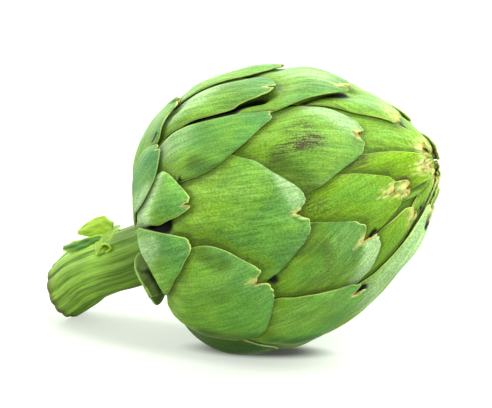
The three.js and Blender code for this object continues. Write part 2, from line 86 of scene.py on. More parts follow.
DENTS = {"hump": 9, "along": 0.6}  # the slow unevenness of the outer face
THIN_TIP = 0.2  # share of a bract's length over which its tip thickens
SWELL_FROM = 0.15  # share of its length over which its bulge rises
CRINKLE = {"height": 0.3, "hump": 1.6, "reach": 4}  # of the withered tip
VEINS = {"turn": 2.4, "sway": 1.3, "hump": 12, "edge": 4, "tip": 6}  # turn is radians a mm
MARGIN_AT_TIP = {"more": 1.4, "reach": 7}  # the dry margin is broader near the tip
NOTCH_SHAPE = (1.5, 0.75)  # the withered patch, narrower across and longer than a round one
ROUNDING = 0.6  # the margins are rounded over this share of their thickness
SEEDS = {"tears": 500, "waver": 700, "crinkle": 300, "veins": 90}  # added to a bract's own seed
ROW_STEP = 1.25  # length of one row of faces
COLUMN_STEP = 0.85  # width of one column of faces
ROW_BIAS = 1.35  # rows crowd towards the tip
COLUMN_CROWD = {"margin": (1.2, 0.05), "notch": (0.8, 0.2)}  # how many more columns, and how near
LEAST_GRID = (28, 20)  # rows and columns of the smallest bract
LOCATE_PASSES = 3
FAIRING = 6  # passes that even out the dips of a bract, always inwards
SEED = 11

STEM_PATH = [
    (-22, 0, -7), (-38, 0, -14.5), (-51, 0.5, -20.6), (-60, 2, -23.9), (-69, 5.5, -28.8),
    (-75.8, 9.5, -34.7), (-81, 13, -38.8), (-89.5, 19, -45.5),
]
STEM_RIBS = 14
# Unevenness of the stem: its height, and how fast it changes round and along the stem.
STEM_SWAY = {"height": 0.7, "round": 5, "along": 0.06, "seed": 5, "hump": 6}  # of the ribs, radians
STEM_BUMPS = {"height": 0.3, "round": 8, "along": 0.3, "seed": 7, "hump": 9}
CUT_BUMPS = {"height": 0.15, "round": 9, "along": 0, "seed": 3, "hump": 2}
RIB_FLAT = 0.45  # less makes flatter ribs and sharper grooves
STEM_FLARE = {"rise": 5, "over": 26}  # widening into the head
STEM_GRID = (110, 168)  # stations along the stem, points round it
CUT_POINT = np.array([-81.0, 13.0, -38.8])
CUT_NORMAL = np.array([-0.918, 0.326, -0.226])
CUT_RINGS = np.array([1.0, 0.985, 0.95, 0.85, 0.7, 0.5, 0.3, 0.1, 0.0])
CUT_HOLLOW = 0.5  # how far the middle of the cut has shrunk
BUD_SPLIT = -25  # along the leaf axis: the stem's tissue behind it, the inner bud before it
SPLIT_GAP = 0.2  # clearance of each of them to the split
CORE_GAP = 2.5  # the core lies this far under every bract
CORE_DEPTH = 2.5  # the innermost leaves stand this far out of the bud's core
CORE_GRID = (48, 72)  # rings and spokes
# Hardly bare, the core is darkened by the bract skin's painted shade of covered places.
CORE_ZONE = (20, 20, 0.06)  # the bud's core: far from any margin and notch, and hardly bare
RECEPTACLE_ZONE = (20, 20, 0)  # the stem's: far from the cut
BUD_LEAVES = {"count": 13, "rounds": 3, "tip": 4, "root": 42, "depth": 1.6, "seed": 200}
BUD_LEAF = {"half": (7, 7), "blunt": 0.2, "nick": 0.5, "ring": "bud"}

# The torn leaf: lobes along a line, with their half-widths, the way across, how far their sides
# bend (cup) and how thin and bright they are (young).
LEAF_BLADES = [
    {"line": [(-60.2, 5.4, -11.4), (-60, -0.3, -12.3), (-59.4, -5, -14.4), (-59.3, -8.3, -17.4)],
     "half": [3.4, 4.6, 4.2, 2.6], "across": (0.9, 0.2, 0.35), "cup": -0.6, "young": 0.5},
    {"line": [(-58.6, 1.5, -11.4), (-63, 1.5, -9.8), (-68.3, 2.1, -10.9), (-73.2, 3.6, -13.3)],
     "half": [3.4, 4.2, 3.3, 0.8], "across": (0, 0.45, 0.9), "cup": 1.2, "young": 0.85},
    {"line": [(-59.5, -3, -14), (-63.8, -3.5, -14.6), (-68.2, -3.1, -15.9), (-73.6, -1, -17.6),
              (-78.6, 1.8, -19.3)],
     "half": [2.6, 2.9, 2.9, 2.4, 0.8], "across": (0, 0.45, 0.9), "cup": 0.7, "young": 0.0},
    {"line": [(-61, -5.4, -16), (-60.3, -5.8, -14.4), (-58.5, -6.2, -13.7), (-56.7, -6.6, -14.2),
              (-56.2, -6.8, -15.6), (-57.4, -6.6, -16.8), (-58.8, -6.3, -17.3)],
     "half": [2.4, 2.6, 2.6, 2.6, 2.6, 2.6, 2.4], "across": (0.2, -0.9, 0.2), "cup": 0,
     "young": 0.35},
]
BLADE_GRID = (36, 21)  # rows along a lobe, columns across it
BLADE_ROW = 0.5  # length given to one row in the leaf's pattern
BLADE_END = 0.4  # the same where the ends are rounded
BLADE_SCALLOP = {"share": 0.03, "pitch": 0.7}
BLADE_WAVE = {"height": 0.25, "across": 7, "along": 3}

# Stage, in metres and degrees.
CAMERA = {"azimuth": 11.54, "elevation": 15, "shift": (-23.3 / 492, 6.0 / 492)}
SOFTBOXES = {"Overhead softbox": {"place": (0.4, -0.1, 0.75), "side": 0.5},
             "Side softbox": {"place": (0.55, -0.3, 0.14), "side": 0.3}}
SURROUND = {"front": (0.55, -0.83, 0.0), "change": (-0.8, 0.3), "levels": (2.3, 0.84)}
# The paper's glow is dimmed in two ovals round the head: a painted shadow.
PAPER_GLOW = (0.6, 0.9)  # how bright the overexposed paper is in the shaded oval and beyond it
PAPER_SHADOW = {"at": (-0.026, -0.003, 0), "turn": -14, "half": (0.058, 0.015, 1)}
CONTACT_GLOW = (0.04, 1.0)  # the same right under the head
PAPER_CONTACT_SHADOW = {"at": (0.012, -0.009, 0), "turn": 4, "half": (0.021, 0.0065, 1)}
OVAL_EDGE = (0.6, 1.5)  # from the inside of an oval's soft outline to its outside

# ---- Bracts ----
# tip and root: degrees from the bud's tip and degrees round the head, 0 on top, 90 in front, 180
# below. half: half-widths towards the lower and the higher turn. wide: where it is widest, tip 0 to
# root 1. full: how soon it widens. blunt: width of the tip. corner: rounding of the tip. nick and
# nick_at: depth of the notch and its place across. neck: width of the root. lift: how far the tip
# stands out, fading up to lift_from. over: degrees that a bract is laid before its turn, so that it
# covers those round it.

PLAIN = {
    "half": (14, 14), "wide": 0.45, "full": 2, "blunt": 0.28, "corner": 0.43, "nick": 2, "nick_at": 0,
    "neck": 0.4, "lift": 0, "lift_from": 0.35, "over": 0, "dry": 0.7, "tone": None, "warm": None,
    "pressed": [], "raised": [], "stained": [], "shaded": [], "waxed": [],
}

BY_HAND = {
    "base": [
        {"tip": (103, 68.5), "root": (152, 59), "half": (12.2, 4.2), "wide": 0.3, "full": 2.4,
         "blunt": 0.4, "corner": 0.57, "nick": 2, "nick_at": 0.08, "neck": 0.45},
        {"tip": (107.3, 83), "root": (152, 91), "half": (10.2, 13.6), "wide": 0.7, "full": 1.7,
         "blunt": 0.2, "nick": 0},
        {"tip": (113.4, 40), "root": (150, 58), "half": (7.6, 10.6), "wide": 0.4, "full": 1.8,
         "blunt": 0.24, "corner": 0.26, "nick": 0.8, "neck": 0.3},
        {"tip": (106.7, 13), "root": (152, 13), "half": (11.7, 17), "wide": 0.28, "full": 2.5,
         "blunt": 0.27, "corner": 0.5, "nick": 0.6},
        {"tip": (137, 101), "root": (161, 104), "half": (8, 8), "nick": 0.5, "blunt": 0.5,
         "lift_from": 0.9},
        {"tip": (146.5, 118), "root": (163, 118), "half": (10, 8), "blunt": 0.7, "corner": 0.3,
         "nick": 0.5, "lift_from": 0.9},
    ],
    "lower": [
        {"tip": (84, 106), "root": (152, 119), "half": (18.9, 19.6), "wide": 0.28, "full": 2.2,
         "blunt": 0.48, "corner": 0.36, "nick": 3.8, "nick_at": -0.16, "neck": 0.3},
        {"tip": (97, 150), "root": (152, 142), "half": (16, 16), "over": -15},
    ],
    "middle": [
        {"tip": (66.5, 19.7), "root": (150, 15), "half": (22.6, 12.2), "wide": 0.56, "full": 2.2,
         "blunt": 0.27, "corner": 0.29, "nick": 2.3, "nick_at": 0.22},
        {"tip": (67, 36), "root": (150, 44), "half": (2, 17.4), "wide": 0.37, "full": 1.6,
         "corner": 0.7, "nick": 1, "nick_at": 0.19, "neck": 0.3},
        {"tip": (68, -10), "root": (150, -14), "half": (15, 15)},
        {"tip": (60.3, 85), "root": (150, 69), "half": (24.2, 22.9), "wide": 0.37, "full": 2.2,
         "blunt": 0.53, "corner": 0.59, "nick": 3.8, "nick_at": -0.06},
        {"tip": (52.5, 136.3), "root": (150, 142), "half": (21.2, 20), "wide": 0.6, "full": 2.2,
         "blunt": 0.3, "corner": 0.7, "nick": 3.7, "nick_at": -0.05},
    ],
    "upper": [
        {"tip": (39.1, 6.7), "root": (140, 17), "half": (19.3, 21.9), "wide": 0.41, "full": 1.6,
         "blunt": 0.25, "nick": 3.3, "nick_at": 0.32, "lift": 0.6},
        {"tip": (33.9, 49), "root": (140, 47), "half": (12.2, 21.5), "wide": 0.28, "full": 2.4,
         "blunt": 0.51, "corner": 0.67},
        {"tip": (39.7, 108), "root": (140, 142), "half": (26.8, 13.3), "wide": 0.28, "full": 1.8,
         "blunt": 0.41, "corner": 0.35, "nick": 3.8, "nick_at": -0.14},
    ],
    "tip": [
        {"tip": (25.5, 92.7), "root": (130, 100), "half": (20.3, 12.1), "wide": 0.42, "full": 2.1,
         "corner": 0.25, "nick": 2.2, "nick_at": -0.22},
        {"tip": (21, 118), "root": (130, 143), "half": (12.1, 6.3), "wide": 0.47, "blunt": 0.36,
         "corner": 0.63},
        {"tip": (14, 148), "root": (125, 153), "half": (12.9, 13), "wide": 0.53, "full": 1.3,
         "blunt": 0.36, "corner": 0.25, "nick": 2.6, "nick_at": -0.2, "over": 8},
        {"tip": (19.4, 13.3), "root": (125, 4), "half": (14.4, 15.2), "blunt": 0.34,
         "corner": 0.25, "nick": 1.7, "nick_at": 0.17},
        {"tip": (20, 93), "root": (120, 97), "half": (9.5, 7.6), "blunt": 0.24, "nick": 1},
        {"tip": (10.5, 77), "root": (120, 81), "half": (11.3, 11), "full": 1.8, "blunt": 0.32,
         "nick": 1},
        {"tip": (9, 42), "root": (120, 46), "half": (11, 11), "nick": 1},
    ],
    "crown": [],
}

# Rings of bracts round the rest of the head: evenly spread, with a small seeded scatter.
RINGS = {
    "base": {"count": 6, "turns": (182, 340), "tip": 106, "root": 154, "half": 12.5, "nick": 0.6,
             "lift": 0.4},
    "lower": {"count": 4, "turns": (204, 318), "tip": 86, "root": 151, "half": 19, "nick": 1.5,
              "lift": 0.4},
    "middle": {"count": 4, "turns": (200, 314), "tip": 62, "root": 150, "half": 20, "nick": 3,
               "lift": 0.3},
    "upper": {"count": 5, "turns": (186, 322), "tip": 37, "root": 140, "half": 17, "nick": 2.5,
              "lift": 0.2},
    "tip": {"count": 6, "turns": (184, 322), "tip": 20, "root": 125, "half": 12, "nick": 1.2,
            "lift": 0},
    "crown": {"count": 4, "turns": (166, 288), "tip": 7, "root": 115, "half": 10, "nick": 0.8,
              "lift": 0},
}
# What single bracts show besides their outline. A stroke runs between two places on the head, in
# degrees as tip and root are, and has a half-width in mm and a strength at both of its ends.
# pressed: pushed in, mm, with all that lies beneath. raised: curled out, mm. stained: purple-brown
# bruise. shaded: painted shade, black in the gaps and hollows between bracts and soft over
# parts in shade. waxed: whitish bloom, and a painted highlight on lit edges and rims.
# All 0 to 1. dry: size of the withered notch.
# tone: darker -1 to lighter 1, the bract's own tone and, on some bracts, painted shade
# or painted light. warm: blue-green -1 to yellow-green 1.
DETAILS = {
    "base_bract_1": {"dry": 0.8, "tone": 0.4, "warm": 0.1,
                     "waxed": [((116, 50), (130, 62), (4, 7), (0.7, 1.2))]},
    "base_bract_2": {"dry": 0, "tone": 0.25, "warm": -0.1,
                     "waxed": [((125, 80), (140, 84), (4, 5), (0.6, 0.7))]},
    "base_bract_3": {"tone": -0.1, "warm": -0.5, "dry": 0.4,
                     "waxed": [((122, 57), (130, 61), (3, 5), (0.7, 0.8))]},
    "base_bract_4": {"tone": 0.1, "warm": -0.1, "lift": 1.2, "dry": 0.8,
                     "shaded": [((123.5, 35), (115, 31.2), (0.3, 0.9), (1, 1)),
                                ((112.5, 10), (109, 13), (1.3, 1), (1, 1))],
                     "pressed": [((112.5, 10), (109, 13), (1.3, 1), (1.5, 1.5))]},
    # Painted light: the two small bracts by the stem are made lighter against the shade they lie in.
    "base_bract_5": {"lift": 4, "dry": 0.4, "tone": 0.7, "warm": 0.1,
                     "shaded": [((144, 97), (143, 113), (1.1, 1.9), (0.72, 0.72)),
                                ((141.6, 91.5), (142.4, 95), (0.6, 0.9), (0.6, 0.6))],
                     "waxed": [((140.2, 102), (139.6, 110), (0.8, 1.2), (0.6, 0.9))]},
    "base_bract_6": {"lift": 4.5, "dry": 0.4, "tone": 1.2, "warm": 1.0,
                     "shaded": [((150, 112), (157, 112), (2.5, 4), (0.5, 0.6))]},
    "lower_bract_1": {"dry": 1.1, "tone": 0.28, "warm": 0.0,
                      "shaded": [((118, 127), (100, 131), (5, 5), (0.55, 0.5)),
                                 ((104, 89), (97, 94), (4, 4), (0.5, 0.5))],
                      "waxed": [((128, 88), (140, 90), (5, 5), (0.6, 0.8))]},
    # Painted shade: the bract by the ground is darkened as if in its contact shadow.
    "lower_bract_2": {"tone": -1.4, "warm": -0.3},
    "middle_bract_1": {"dry": 0.8, "tone": -0.24, "warm": -0.2,
                       "raised": [((74, 25), (66, 22), (4, 4), (0.8, 1.6))],
                       "waxed": [((112, 12), (94, 14), (4, 6), (0.6, 0.5)),
                                 ((110, 26), (98, 22), (3, 4), (0.6, 0.3))],
                       "pressed": [((106.5, 32.2), (83, 29.2), (0.5, 1.5), (0.3, 0.8))]},
    "middle_bract_2": {"dry": 0.3, "tone": -0.17, "warm": -0.2,
                       "waxed": [((118, 42), (104, 40), (4, 6), (0.7, 0.4))],
                       "shaded": [((122.5, 56), (115.5, 40), (0.4, 1.2), (1, 1)),
                                  ((107, 56.5), (103, 62), (0.6, 0.8), (1, 1)),
                                  ((99, 54), (92, 58), (4, 4), (0.55, 0.5))]},
    "middle_bract_3": {"lift": 0.4, "lift_from": 0.8, "dry": 1.2, "tone": 0.1, "warm": -0.2},
    "middle_bract_4": {"dry": 1.1, "tone": -0.17, "warm": 0.0,
                       "pressed": [((128, 71), (119, 72.3), (3, 4.5), (2, 2.6))],
                       "shaded": [((128, 71), (119.5, 72.3), (3.5, 4.4), (1, 1))],
                       "waxed": [((78, 52), (66, 62), (3, 4), (0.3, 0.7)),
                                 ((66, 68), (64, 78), (3, 3), (0.8, 0.6))]},
    "middle_bract_5": {"dry": 1.1, "tone": 0.15, "warm": -0.3,
                       "shaded": [((94, 137), (82, 149), (5, 5), (0.5, 0.5))],
                       "waxed": [((54, 156), (80, 164), (5, 6), (0.8, 1))]},
    "upper_bract_1": {"dry": 1.5, "tone": -0.2, "warm": -0.3,
                      "pressed": [((100, 31), (72, 24), (1.5, 3.5), (0.5, 2.5))],
                      "shaded": [((104, 32.5), (84, 30), (1.2, 2.6), (1, 1)),
                                 ((84, 29.5), (72, 25), (2.6, 3), (1, 1))],
                      "waxed": [((62, 2), (50, 8), (5, 5), (0.4, 0.4))]},
    "upper_bract_2": {"dry": 1.1, "tone": -0.36, "warm": 0.3,
                      "stained": [((67.6, 56.8), (53.4, 53), (2.1, 3.2), (1.1, 1.35)),
                                  ((62.5, 47.5), (56, 45), (1.5, 1.8), (0.7, 0.8))],
                      "shaded": [((67, 60), (57, 73), (5, 4), (0.5, 0.5))],
                      "waxed": [((52, 33), (40, 38), (4, 5), (0.6, 0.8))]},
    "upper_bract_3": {"dry": 1.3, "tone": -0.2, "warm": 0.0,
                      "shaded": [((86, 103), (82, 107), (1.5, 2), (1, 1)),
                                 ((60, 101), (68, 99), (4, 4), (0.52, 0.5))],
                      "stained": [((70, 122), (55, 100), (2, 2.5), (0.35, 0.5)),
                                  ((62, 120), (50, 112), (1.5, 2), (0.3, 0.4))],
                      "waxed": [((41, 114), (56, 136), (4, 5), (1, 1))]},
    # Painted light: this lower rim is lightened and whitened as if lit from the floor.
    "upper_bract_4": {"tone": 0.8, "waxed": [((60, 166), (86, 172), (6, 6), (0.8, 0.8))]},
    "tip_bract_1": {"dry": 1.5, "tone": -0.1, "warm": 0.5,
                    "shaded": [((41.5, 109.5), (39.5, 108), (1.2, 1.4), (1, 1))],
                    "stained": [((62, 80), (52, 86), (3, 3), (0.6, 0.5))],
                    "waxed": [((66, 78), (50, 86), (5, 6), (-0.6, -0.4))]},
    "tip_bract_2": {"dry": 1.5, "tone": 0.2, "warm": 0.0},
    "tip_bract_3": {"dry": 1.5, "tone": 0.1, "warm": -0.2,
                    "shaded": [((56, 139), (52.5, 139), (1.6, 1.8), (1, 1)),
                               ((17.5, 141), (21.5, 149), (0.9, 1.3), (1, 1))],
                    "waxed": [((20, 146), (54, 150), (7, 9), (0.8, 0.7))]},
    "tip_bract_4": {"dry": 2.0, "tone": 0.04, "warm": -0.1,
                    "pressed": [((57, 30), (38, 12), (1.5, 3), (0.5, 1.2))],
                    "shaded": [((57, 30), (40, 14), (0.8, 1.6), (1, 1))],
                    "stained": [((45, 24), (40, 30), (1.2, 2), (0.6, 0.3))],
                    "waxed": [((34, -8), (24, 2), (4, 3), (0.5, 0.3)),
                              ((40, 16), (26, 14), (4, 4), (0.4, 0.3))]},
    "tip_bract_5": {"dry": 2.0, "tone": 0.2, "warm": 0.2},
    "tip_bract_6": {"dry": 1.7, "tone": -0.42, "warm": 1.2,
                    "waxed": [((46, 72), (22, 74), (7, 6), (-0.6, -0.6))],
                    "stained": [((44, 64), (36, 66), (2.4, 2), (1, 0.7)),
                                ((24, 84), (21, 85), (0.8, 1.2), (1, 1))],
                    "shaded": [((14.2, 72), (12.4, 79), (0.8, 1.3), (1, 1))]},
    "tip_bract_7": {"dry": 1.9, "tone": 0.12, "warm": 0.0,
                    "shaded": [((18.4, 14), (16.6, 19.3), (1, 1.2), (1, 1))]},
    "bud_leaves": {"dry": 1.6, "tone": 0.2, "warm": -0.1,
                   "shaded": [((18.4, 14), (16.6, 19.3), (1, 1.2), (1, 1)),
                              ((9.3, 70), (8, 81), (0.7, 0.9), (1, 1)),
                              ((17.8, 126), (19, 153), (0.8, 1), (1, 1))]},
}

# How far the bracts of a ring differ, in the same measures.
SCATTER = {"tip": 3, "turn": 5, "width": 0.1, "full": 0.4, "nick_at": 0.2}
RING_FULL = 2.1  # how soon the bracts of a ring widen
TONE_SCATTER = 0.2
WARM_SCATTER = 0.4
YOUNG_RINGS = ("tip", "crown")

# ---- Settings ----


def linear(colour):
    """A colour in sRGB hex, as linear RGBA."""
    channels = [int(colour[start:start + 2], 16) / 255 for start in (1, 3, 5)]
    return [c / 12.92 if c <= 0.04045 else ((c + 0.055) / 1.055) ** 2.4 for c in channels] + [1.0]


def length_setting(name, description, millimetres):
    return FloatProperty(name=name, description=description, default=millimetres * MM,
                         subtype="DISTANCE", unit="LENGTH", precision=5)


def colour_setting(name, description, colour):
    return FloatVectorProperty(name=name, description=description, default=linear(colour), size=4,
                               subtype="COLOR", min=0, max=1)


def power_setting(name, description, watts):
    return FloatProperty(name=name, description=description, default=watts, subtype="POWER",
                         unit="POWER")


class BractSettings(bpy.types.PropertyGroup):
    """Sizes and colours of the bracts"""

    edge: length_setting("Margin thickness", "Thickness of a bract at its margin", 0.7)
    middle: length_setting("Middle thickness", "Thickness of a bract along its middle", 1.5)
    gap: length_setting("Gap", "Clearance between one bract and the next", 0.25)
    dents: length_setting("Dents", "Depth of the slow unevenness of the outer face", 0.3)
    veins: length_setting("Veins", "Height of the lengthwise veins", 0.06)
    green: colour_setting("Green", "Grown bract, its main colour", "#70A62C")
    root_green: colour_setting("Root green", "Where a bract comes out from under the next", "#88B61C")
    tip_green: colour_setting("Tip green", "Bluish green towards the tip", "#62A24C")
    warm_green: colour_setting("Warm green", "Yellow-green patches", "#93C413")
    cool_green: colour_setting("Cool green", "Blue-green patches", "#4B9A55")
    # Also the colour of the painted highlight along lit edges and rims.
    bloom_and_highlight: colour_setting("Bloom", "Whitish wax on the skin", "#B8E099")
    margin: colour_setting("Margin", "Thin dry margin", "#DDF080")
    yellow: colour_setting("Notch yellow", "Round the notch at the tip", "#D9DD86")
    orange: colour_setting("Notch orange", "Dying tissue at the notch", "#C3A048")
    brown: colour_setting("Notch brown", "The dead rim of the notch", "#5A3414")
    bruise: colour_setting("Bruise", "Rubbed and bruised skin", "#4A3A2A")
    inside: colour_setting("Inner face", "The pale inner skin", "#B4CC7E")


class StemSettings(bpy.types.PropertyGroup):
    """Sizes and colours of the stem"""

    radius: length_setting("Radius", "Radius of the stem", 10.7)
    rib: length_setting("Rib height", "Height of the lengthwise ribs", 0.3)
    rind: colour_setting("Rind", "Ridges of the rind", "#9ACB48")
    groove: colour_setting("Groove", "Grooves between the ridges", "#5F8F1C")
    pith: colour_setting("Pith", "Pale tissue of the cut", "#C9CE96")
    dried: colour_setting("Dried cut", "Dried rim of the cut", "#6E5A2C")


class LeafSettings(bpy.types.PropertyGroup):
    """Sizes and colours of the torn leaf"""

    thickness: length_setting("Thickness", "Thickness of the blade", 0.7)
    blade: colour_setting("Blade", "Upper face of the blade", "#4F8A12")
    young: colour_setting("Young blade", "Thin bright parts", "#BCE23A")


class StageSettings(bpy.types.PropertyGroup):
    """Floor, light and camera"""

    floor: length_setting("Floor", "Side of the square floor", 6000)
    distance: length_setting("Camera distance", "From the head centre", 450)
    lens: FloatProperty(name="Lens", description="Focal length of the camera", default=93.4,
                        unit="CAMERA")
    key_power: power_setting("Overhead light", "Power of the soft light overhead", 4.5)
    side_power: power_setting("Side light", "Power of the soft light at the side", 0.9)
    surround: FloatProperty(name="Surround", description="Strength of the white surround", default=1.0)


class ArtichokeSettings(bpy.types.PropertyGroup):
    """All settings of the artichoke"""

    bracts: PointerProperty(type=BractSettings)
    stem: PointerProperty(type=StemSettings)
    leaf: PointerProperty(type=LeafSettings)
    stage: PointerProperty(type=StageSettings)


def settings():
    return bpy.context.scene.artichoke


# ---- Directions on the head ----


def tilted(degrees):
    return np.array([math.cos(math.radians(degrees)), 0.0, math.sin(math.radians(degrees))])


HEAD_AXIS = tilted(HEAD_TILT)
LEAF_AXIS = tilted(LEAF_TILT)
LEAF_UP = np.array([-LEAF_AXIS[2], 0.0, LEAF_AXIS[0]])
LEAF_FRONT = np.array([0.0, -1.0, 0.0])


def unit(vector):
    return vector / np.linalg.norm(vector, axis=-1, keepdims=True)


def smooth(low, high, value):
    part = np.clip((value - low) / (high - low), 0, 1)
    return part * part * (3 - 2 * part)


def head_direction(angle, turn):
    """Direction at an angle from the bud's tip and a turn round the head, in degrees."""
    angle, turn = np.radians(angle)[..., None], np.radians(turn)[..., None]
    return (LEAF_AXIS * np.cos(angle) + LEAF_UP * np.sin(angle) * np.cos(turn)
            + LEAF_FRONT * np.sin(angle) * np.sin(turn))


def ground_radius(direction):
    """Distance from the head centre to the ground."""
    down = -direction[..., 2]
    return np.where(down > 1e-6, HEAD_PLACE[2] / np.maximum(down, 1e-6), np.inf)


def head_radius(direction):
    """Outer radius of the head, pressed flat where it meets the ground."""
    angle = np.arccos(np.clip(direction @ HEAD_AXIS, -1, 1))
    from_point = np.arccos(np.clip(direction @ LEAF_AXIS, -1, 1))
    reach = (HEAD["round"] + HEAD["length"] * np.cos(angle) + HEAD["oval"] * np.cos(2 * angle)
             + HEAD["egg"] * np.cos(3 * angle) + HEAD["square"] * np.cos(4 * angle)
             + HEAD["point"] * np.exp(-((from_point / HEAD["spread"]) ** 2)))
    for middle, size, rise in SWELLINGS:
        centre = head_direction(*np.array(middle, float))
        away = np.degrees(np.arccos(np.clip(direction @ centre, -1, 1)))
        reach = reach + rise * np.exp(-((away / size) ** 2))
    return np.minimum(reach, ground_radius(direction))


def ripple(x, y, seed, hump):
    """Slow seeded waviness between about -1 and 1, with humps of about one size."""
    random = np.random.default_rng(seed)
    total = 0
    for _ in range(RIPPLE["waves"]):
        heading, phase = random.uniform(0, 2 * math.pi, 2)
        pitch = 2 * math.pi / (hump * random.uniform(*RIPPLE["pitch"]))
        total = total + np.sin((x * math.cos(heading) + y * math.sin(heading)) * pitch + phase)
    return total / math.sqrt(RIPPLE["waves"])


# ---- One bract ----


class Bract:
    """A leaf outline on the head. t runs from its tip, 0, to its root, 1, and u across it, -1 to 1."""

    def __init__(self, name, seed, spec):
        self.name = name
        self.seed = seed
        for key, value in {**PLAIN, **spec}.items():
            setattr(self, key, value)
        tip, root = head_direction(*np.array([self.tip, self.root], float).T)
        scatter = math.sin(seed * 12.9898)  # between -1 and 1, its own for each bract
        self.tone = TONE_SCATTER * scatter if self.tone is None else self.tone
        self.warm = WARM_SCATTER * scatter if self.warm is None else self.warm
        self.broadest = max(self.half)
        self.ease = EASE_OUT["least"] + EASE_OUT["share"] * self.broadest
        self.tipward = tip
        self.length = math.acos(tip @ root) * LAY_RADIUS
        self.rootward = unit(root - tip * (root @ tip))
        self.sideways = np.cross(self.tipward, self.rootward)
        onward = head_direction(np.array(float(self.tip[0])), np.array(float(self.tip[1] + 5)))
        if self.sideways @ onward < 0:
            self.sideways = -self.sideways

    def half_width(self, t, u):
        rise = 1 - (1 - np.clip(t / self.wide, 0, 1)) ** self.full
        fall = smooth(self.wide, 1, t)
        waver = WAVER["height"] * ripple(t * self.length, np.sign(u) * WAVER["apart"],
                                         self.seed + SEEDS["waver"], WAVER["hump"])
        return (np.where(u < 0, self.half[0], self.half[1]) * (self.blunt + (1 - self.blunt) * rise)
                * (1 - (1 - self.neck) * fall) + waver * smooth(0, WAVER["from"], t))

    def tip_edge(self, u):
        """How far the tip's outline stands back from its foremost point."""
        rounding = self.corner * self.half_width(0, u) * np.abs(u) ** CORNER_SHARP
        inside = np.maximum(1 - np.abs(u - self.nick_at) / NICK_SPREAD, 0)
        return rounding + self.nick * inside ** NICK_SHARP

    def ragged(self, u):
        """Small tears of the tip's outline, deepest beside the notch."""
        random = np.random.default_rng(self.seed + SEEDS["tears"])
        place = u * self.broadest * self.blunt
        tears = sum(np.sin(place * 2 * math.pi / random.uniform(*TEARS["pitch"])
                           + random.uniform(0, TEARS["phase"])) for _ in range(TEARS["count"]))
        near = np.exp(-(((u - self.nick_at) / TEARS["reach"]) ** 2))
        near = TEARS["far"] + (1 - TEARS["far"]) * near
        return (TEARS["depth"] + TEARS["dry_depth"] * self.dry) * tears * near * (1 - u ** 4)

    def direction(self, t, u):
        edge = self.tip_edge(u) + self.ragged(u)
        along = (t * self.length + edge * (1 - t) ** TIP_FADE) / LAY_RADIUS
        across = (u * self.half_width(t, u)) / LAY_RADIUS
        return (self.tipward * (np.cos(across) * np.cos(along))[..., None]
                + self.rootward * (np.cos(across) * np.sin(along))[..., None]
                + self.sideways * np.sin(across)[..., None])

    def locate(self, direction):
        """The place (t, u) under a direction, and how far outside the outline it is, in mm."""
        across = np.arcsin(np.clip(direction @ self.sideways, -1, 1)) * LAY_RADIUS
        along = np.arctan2(direction @ self.rootward, direction @ self.tipward) * LAY_RADIUS
        t = np.clip(along / self.length, 0, 1)
        for _ in range(LOCATE_PASSES):
            u = np.clip(across / self.half_width(t, across), -1, 1)
            t = np.clip((along - self.tip_edge(u) * (1 - t) ** TIP_FADE) / self.length, 0, 1)
        beside = np.maximum(np.abs(across) - self.half_width(t, across), 0)
        before = np.maximum(np.maximum(self.tip_edge(u) - along, along - self.length), 0)
        return t, u, np.hypot(beside, before)

    def thickness(self, t, u):
        edge, middle = settings().bracts.edge / MM, settings().bracts.middle / MM
        return edge + (middle - edge) * (1 - u * u) * smooth(0, THIN_TIP, t)

    def rim(self, t, u):
        """Distance from the margin, and from the nearest end."""
        return (1 - np.abs(u)) * self.half_width(t, u), np.minimum(t, 1 - t) * self.length

    def stations(self):
        """Rows that crowd towards the tip, and columns that crowd at the margins and the notch."""
        count = max(LEAST_GRID[0], math.ceil(self.length / ROW_STEP))
        self.rows = (np.arange(count + 1) / count) ** ROW_BIAS
        fine = np.linspace(-1, 1, 801)
        crowd = 1
        for middle, (more, reach) in ((1 - np.abs(fine), COLUMN_CROWD["margin"]),
                                      (fine - self.nick_at, COLUMN_CROWD["notch"])):
            crowd = crowd + more * np.exp(-(middle / reach) ** 2)
        reach = np.concatenate([[0], np.cumsum((crowd[1:] + crowd[:-1]) / 2)])
        count = max(LEAST_GRID[1], math.ceil(sum(self.half) / COLUMN_STEP))
        self.columns = np.interp(np.linspace(0, reach[-1], count + 1), reach, fine)

    def sample(self, grid, t, u):
        """A grid's value between its rows and columns."""
        row = np.interp(t, self.rows, np.arange(len(self.rows)))
        column = np.interp(u, self.columns, np.arange(len(self.columns)))
        i = np.minimum(row.astype(int), len(self.rows) - 2)
        j = np.minimum(column.astype(int), len(self.columns) - 2)
        down, right = row - i, column - j
        return ((grid[i, j] * (1 - right) + grid[i, j + 1] * right) * (1 - down)
                + (grid[i + 1, j] * (1 - right) + grid[i + 1, j + 1] * right) * down)


# ---- Layers ----


def strokes(direction, marks):
    """The strength of a bract's strokes at each direction."""
    place = direction * LAY_RADIUS
    total = np.zeros(direction.shape[:-1])
    for start, stop, widths, strengths in marks:
        first, last = head_direction(*np.array([start, stop], float).T) * LAY_RADIUS
        run = last - first
        part = np.clip(((place - first) @ run) / (run @ run), 0, 1)
        distance = np.linalg.norm(place - first - part[..., None] * run, axis=-1)
        width = widths[0] + (widths[1] - widths[0]) * part
        strength = strengths[0] + (strengths[1] - strengths[0]) * part
        total += strength * np.exp(-((distance / width) ** 3))
    return total


